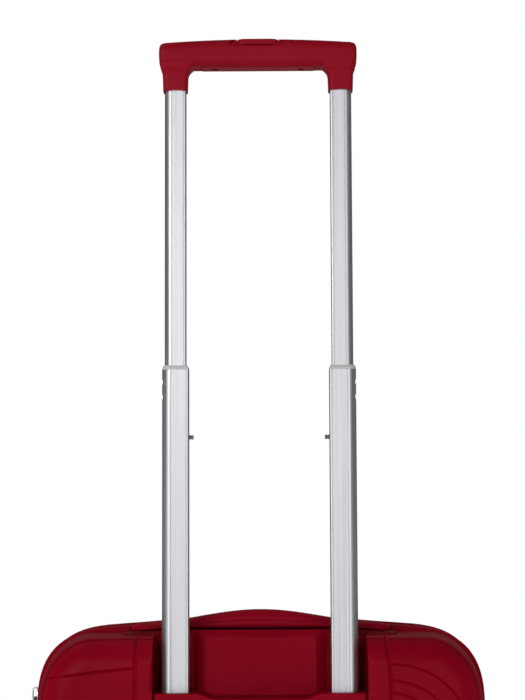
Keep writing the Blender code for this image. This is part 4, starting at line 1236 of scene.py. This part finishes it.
def piping(inset, y):
    """A round cord along the top of a lining."""
    path = body_outline(inset, 1)
    rings = []
    for i, (x, z) in enumerate(path):
        before, after = Vector(path[i - 1]), Vector(path[(i + 1) % len(path)])
        ahead = (after - before).normalized()
        out = Vector((ahead.y, 0, -ahead.x))
        rings.append(ring_round(Vector((x, y, z)), out, Vector((0, 1, 0)), 1.1, 14))
    return skin(rings, closed=True)


for end, side_y, inset, floor_y, rim_y in (("rear", -1, 27.0, 57.0, 24.0), ("front", 1, 9.0, 88.0, 20.0)):
    body = f"{end}_half"
    tray = lining(side_y, inset, floor_y, rim_y)
    cord = piping(inset + 0.4, side_y * (rim_y - 0.9))
    seam = dashes(body_outline(inset + 1.25, 1), side_y * (rim_y + 5.0), 3.6, 0.25)
    piece(f"{end}_side_glide", side_skid(side_y), BLACK, body, f"{end}_side_skid")
    piece(f"{end}_lining_tray", tray, LINING, body, f"{end}_lining")
    piece(f"{end}_lining_piping", cord, PIPING, body, None, 80)
    piece(f"{end}_lining_seam", seam, PIPING, body, None, 80, False)


def strap(mirror, lift):
    """One elastic strap from corner to corner of the rear half, passing over or under the other."""
    reach, rise, half = 132.0, 165.0, 12.5
    length = math.hypot(reach, rise)
    ahead = Vector((mirror * reach / length, 0, rise / length))
    across = Vector((ahead.z, 0, -ahead.x))
    rows = []
    for i in range(81):
        t = -1 + 2 * i / 80
        bow = 0.25 + lift * math.exp(-((t * length / 26) ** 2))
        middle = Vector((0, -55.15 + bow, 300)) + ahead * (t * length)
        rows.append([middle + across * (half * (-1 + j / 4)) for j in range(9)])
    return thickened(sheet_mesh(rows), 0.9)


for name, mirror, lift in (("falling", -1, 0.0), ("rising", 1, 0.95)):
    mesh = strap(mirror, lift)
    band = piece(f"strap_{name}", mesh, ELASTIC, "rear_half", "packing_straps", 60, False)


def strap_buckle():
    plate = prism(rounded((-31, 31), (282, 318), 6.0, 8), "y", -53.5, -47.5)
    plate = bevelled(plate, 1.2, 4)
    tools = [prism(rounded((-4, 4), (286, 314), 1.5), "y", -60, -40)]
    for side in (-1, 1):
        tools.append(prism(rounded(span(side, 20, 26), (288, 312), 1.5), "y", -60, -40))
    plate = cut(plate, *tools)
    tongue = bevelled(prism(rounded((-14, 14), (293, 307), 3.0), "y", -49.5, -46.7), 0.7)
    return merged(plate, tongue)


piece("buckle", strap_buckle(), BLACK, "rear_half", "strap_buckle")

# ---------------------------------------------------------------- CAD pieces that stay

KEPT = {"trolley_base": BLACK, "outer_tube_left": METAL, "outer_tube_right": METAL, "push_yoke": ZINC}
for name, finish in KEPT.items():
    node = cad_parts[name]
    node.data.materials.clear()
    node.data.materials.append(finish)


# ---------------------------------------------------------------- floor, light and camera


def floor():
    rings = [[(x, y, 0.0) for x, y in circle(0, 0, radius, 96)] for radius in (10.0, 3000.0)]
    mesh = skin(rings, caps=False)
    mesh.faces.new(list(mesh.verts)[:96])
    bmesh.ops.recalc_face_normals(mesh, faces=mesh.faces)
    made = Surface("pale_floor", 0.6, specular=0.2)
    made.colour(made.ramp(made.noise(3.0, 2.0), (0.3, (238, 238, 238)), (0.7, (243, 243, 243))))
    ground = piece("floor", mesh, made.material, None, weighted=False)


def area_light(name, place, aim_height, size, power, glossy=True):
    """A soft light aimed at the case's middle at this height. Only a glossy one shows in reflections."""
    data = bpy.data.lights.new(name, "AREA")
    data.shape = "RECTANGLE"
    data.size, data.size_y = size
    data.energy = power
    made = bpy.data.objects.new(name, data)
    made.location = place
    made.rotation_euler = (Vector((0, 0, aim_height)) - Vector(place)).to_track_quat("-Z", "Y").to_euler()
    made.visible_glossy = glossy
    bpy.context.scene.collection.objects.link(made)


def surroundings(seen, ambient):
    """Plain white behind the object, and a dimmer even light from all round, dimmer still in reflections."""
    world = bpy.data.worlds.new("studio")
    world.use_nodes = True
    nodes, links = world.node_tree.nodes, world.node_tree.links
    back = nodes["Background"]
    back.inputs["Color"].default_value = (1, 1, 1, 1)
    white = nodes.new("ShaderNodeBackground")
    white.inputs["Color"].default_value = (1, 1, 1, 1)
    white.inputs["Strength"].default_value = seen
    path, mix = nodes.new("ShaderNodeLightPath"), nodes.new("ShaderNodeMixShader")
    dimmer = nodes.new("ShaderNodeMath")
    dimmer.operation = "MULTIPLY_ADD"
    dimmer.inputs[1].default_value = -ambient * 0.4
    dimmer.inputs[2].default_value = ambient
    links.new(path.outputs["Is Glossy Ray"], dimmer.inputs[0])
    links.new(dimmer.outputs[0], back.inputs["Strength"])
    links.new(path.outputs["Is Camera Ray"], mix.inputs["Fac"])
    links.new(back.outputs[0], mix.inputs[1])
    links.new(white.outputs[0], mix.inputs[2])
    links.new(mix.outputs[0], nodes["World Output"].inputs["Surface"])
    bpy.context.scene.world = world


def camera():
    data = bpy.data.cameras.new("camera")
    data.sensor_width = 36.0
    data.lens = 91.98
    data.clip_start, data.clip_end = 0.05, 50.0
    made = bpy.data.objects.new("camera", data)
    made.location = (0.01291, -1.62104, 0.64164)
    yaw, pitch, roll = math.radians(-0.367), math.radians(4.813), math.radians(-0.223)
    ahead = Vector((math.sin(yaw) * math.cos(pitch), math.cos(yaw) * math.cos(pitch), math.sin(pitch)))
    turn = ahead.to_track_quat("-Z", "Y") @ Matrix.Rotation(roll, 4, "Z").to_quaternion()
    made.rotation_mode = "QUATERNION"
    made.rotation_quaternion = turn
    bpy.context.scene.collection.objects.link(made)
    bpy.context.scene.camera = made


floor()
surroundings(1.0, 0.22)
area_light("key", (-1.2, -2.45, 1.25), 0.6, (1.3, 1.3), 40)
area_light("fill", (1.0, -2.6, 0.9), 0.6, (1.2, 1.6), 19)
area_light("top", (-1.0, 0.6, 2.5), 0.6, (1.6, 1.6), 14, glossy=False)
area_light("back", (0.8, 2.4, 1.2), 0.4, (1.6, 1.2), 26, glossy=False)
for name, side in (("left", -1), ("right", 1)):
    area_light(name, (side * 2.6, 0.3, 0.8), 0.5, (1.2, 1.4), 12, glossy=False)
camera()
bpy.context.scene.view_settings.view_transform = "Standard"
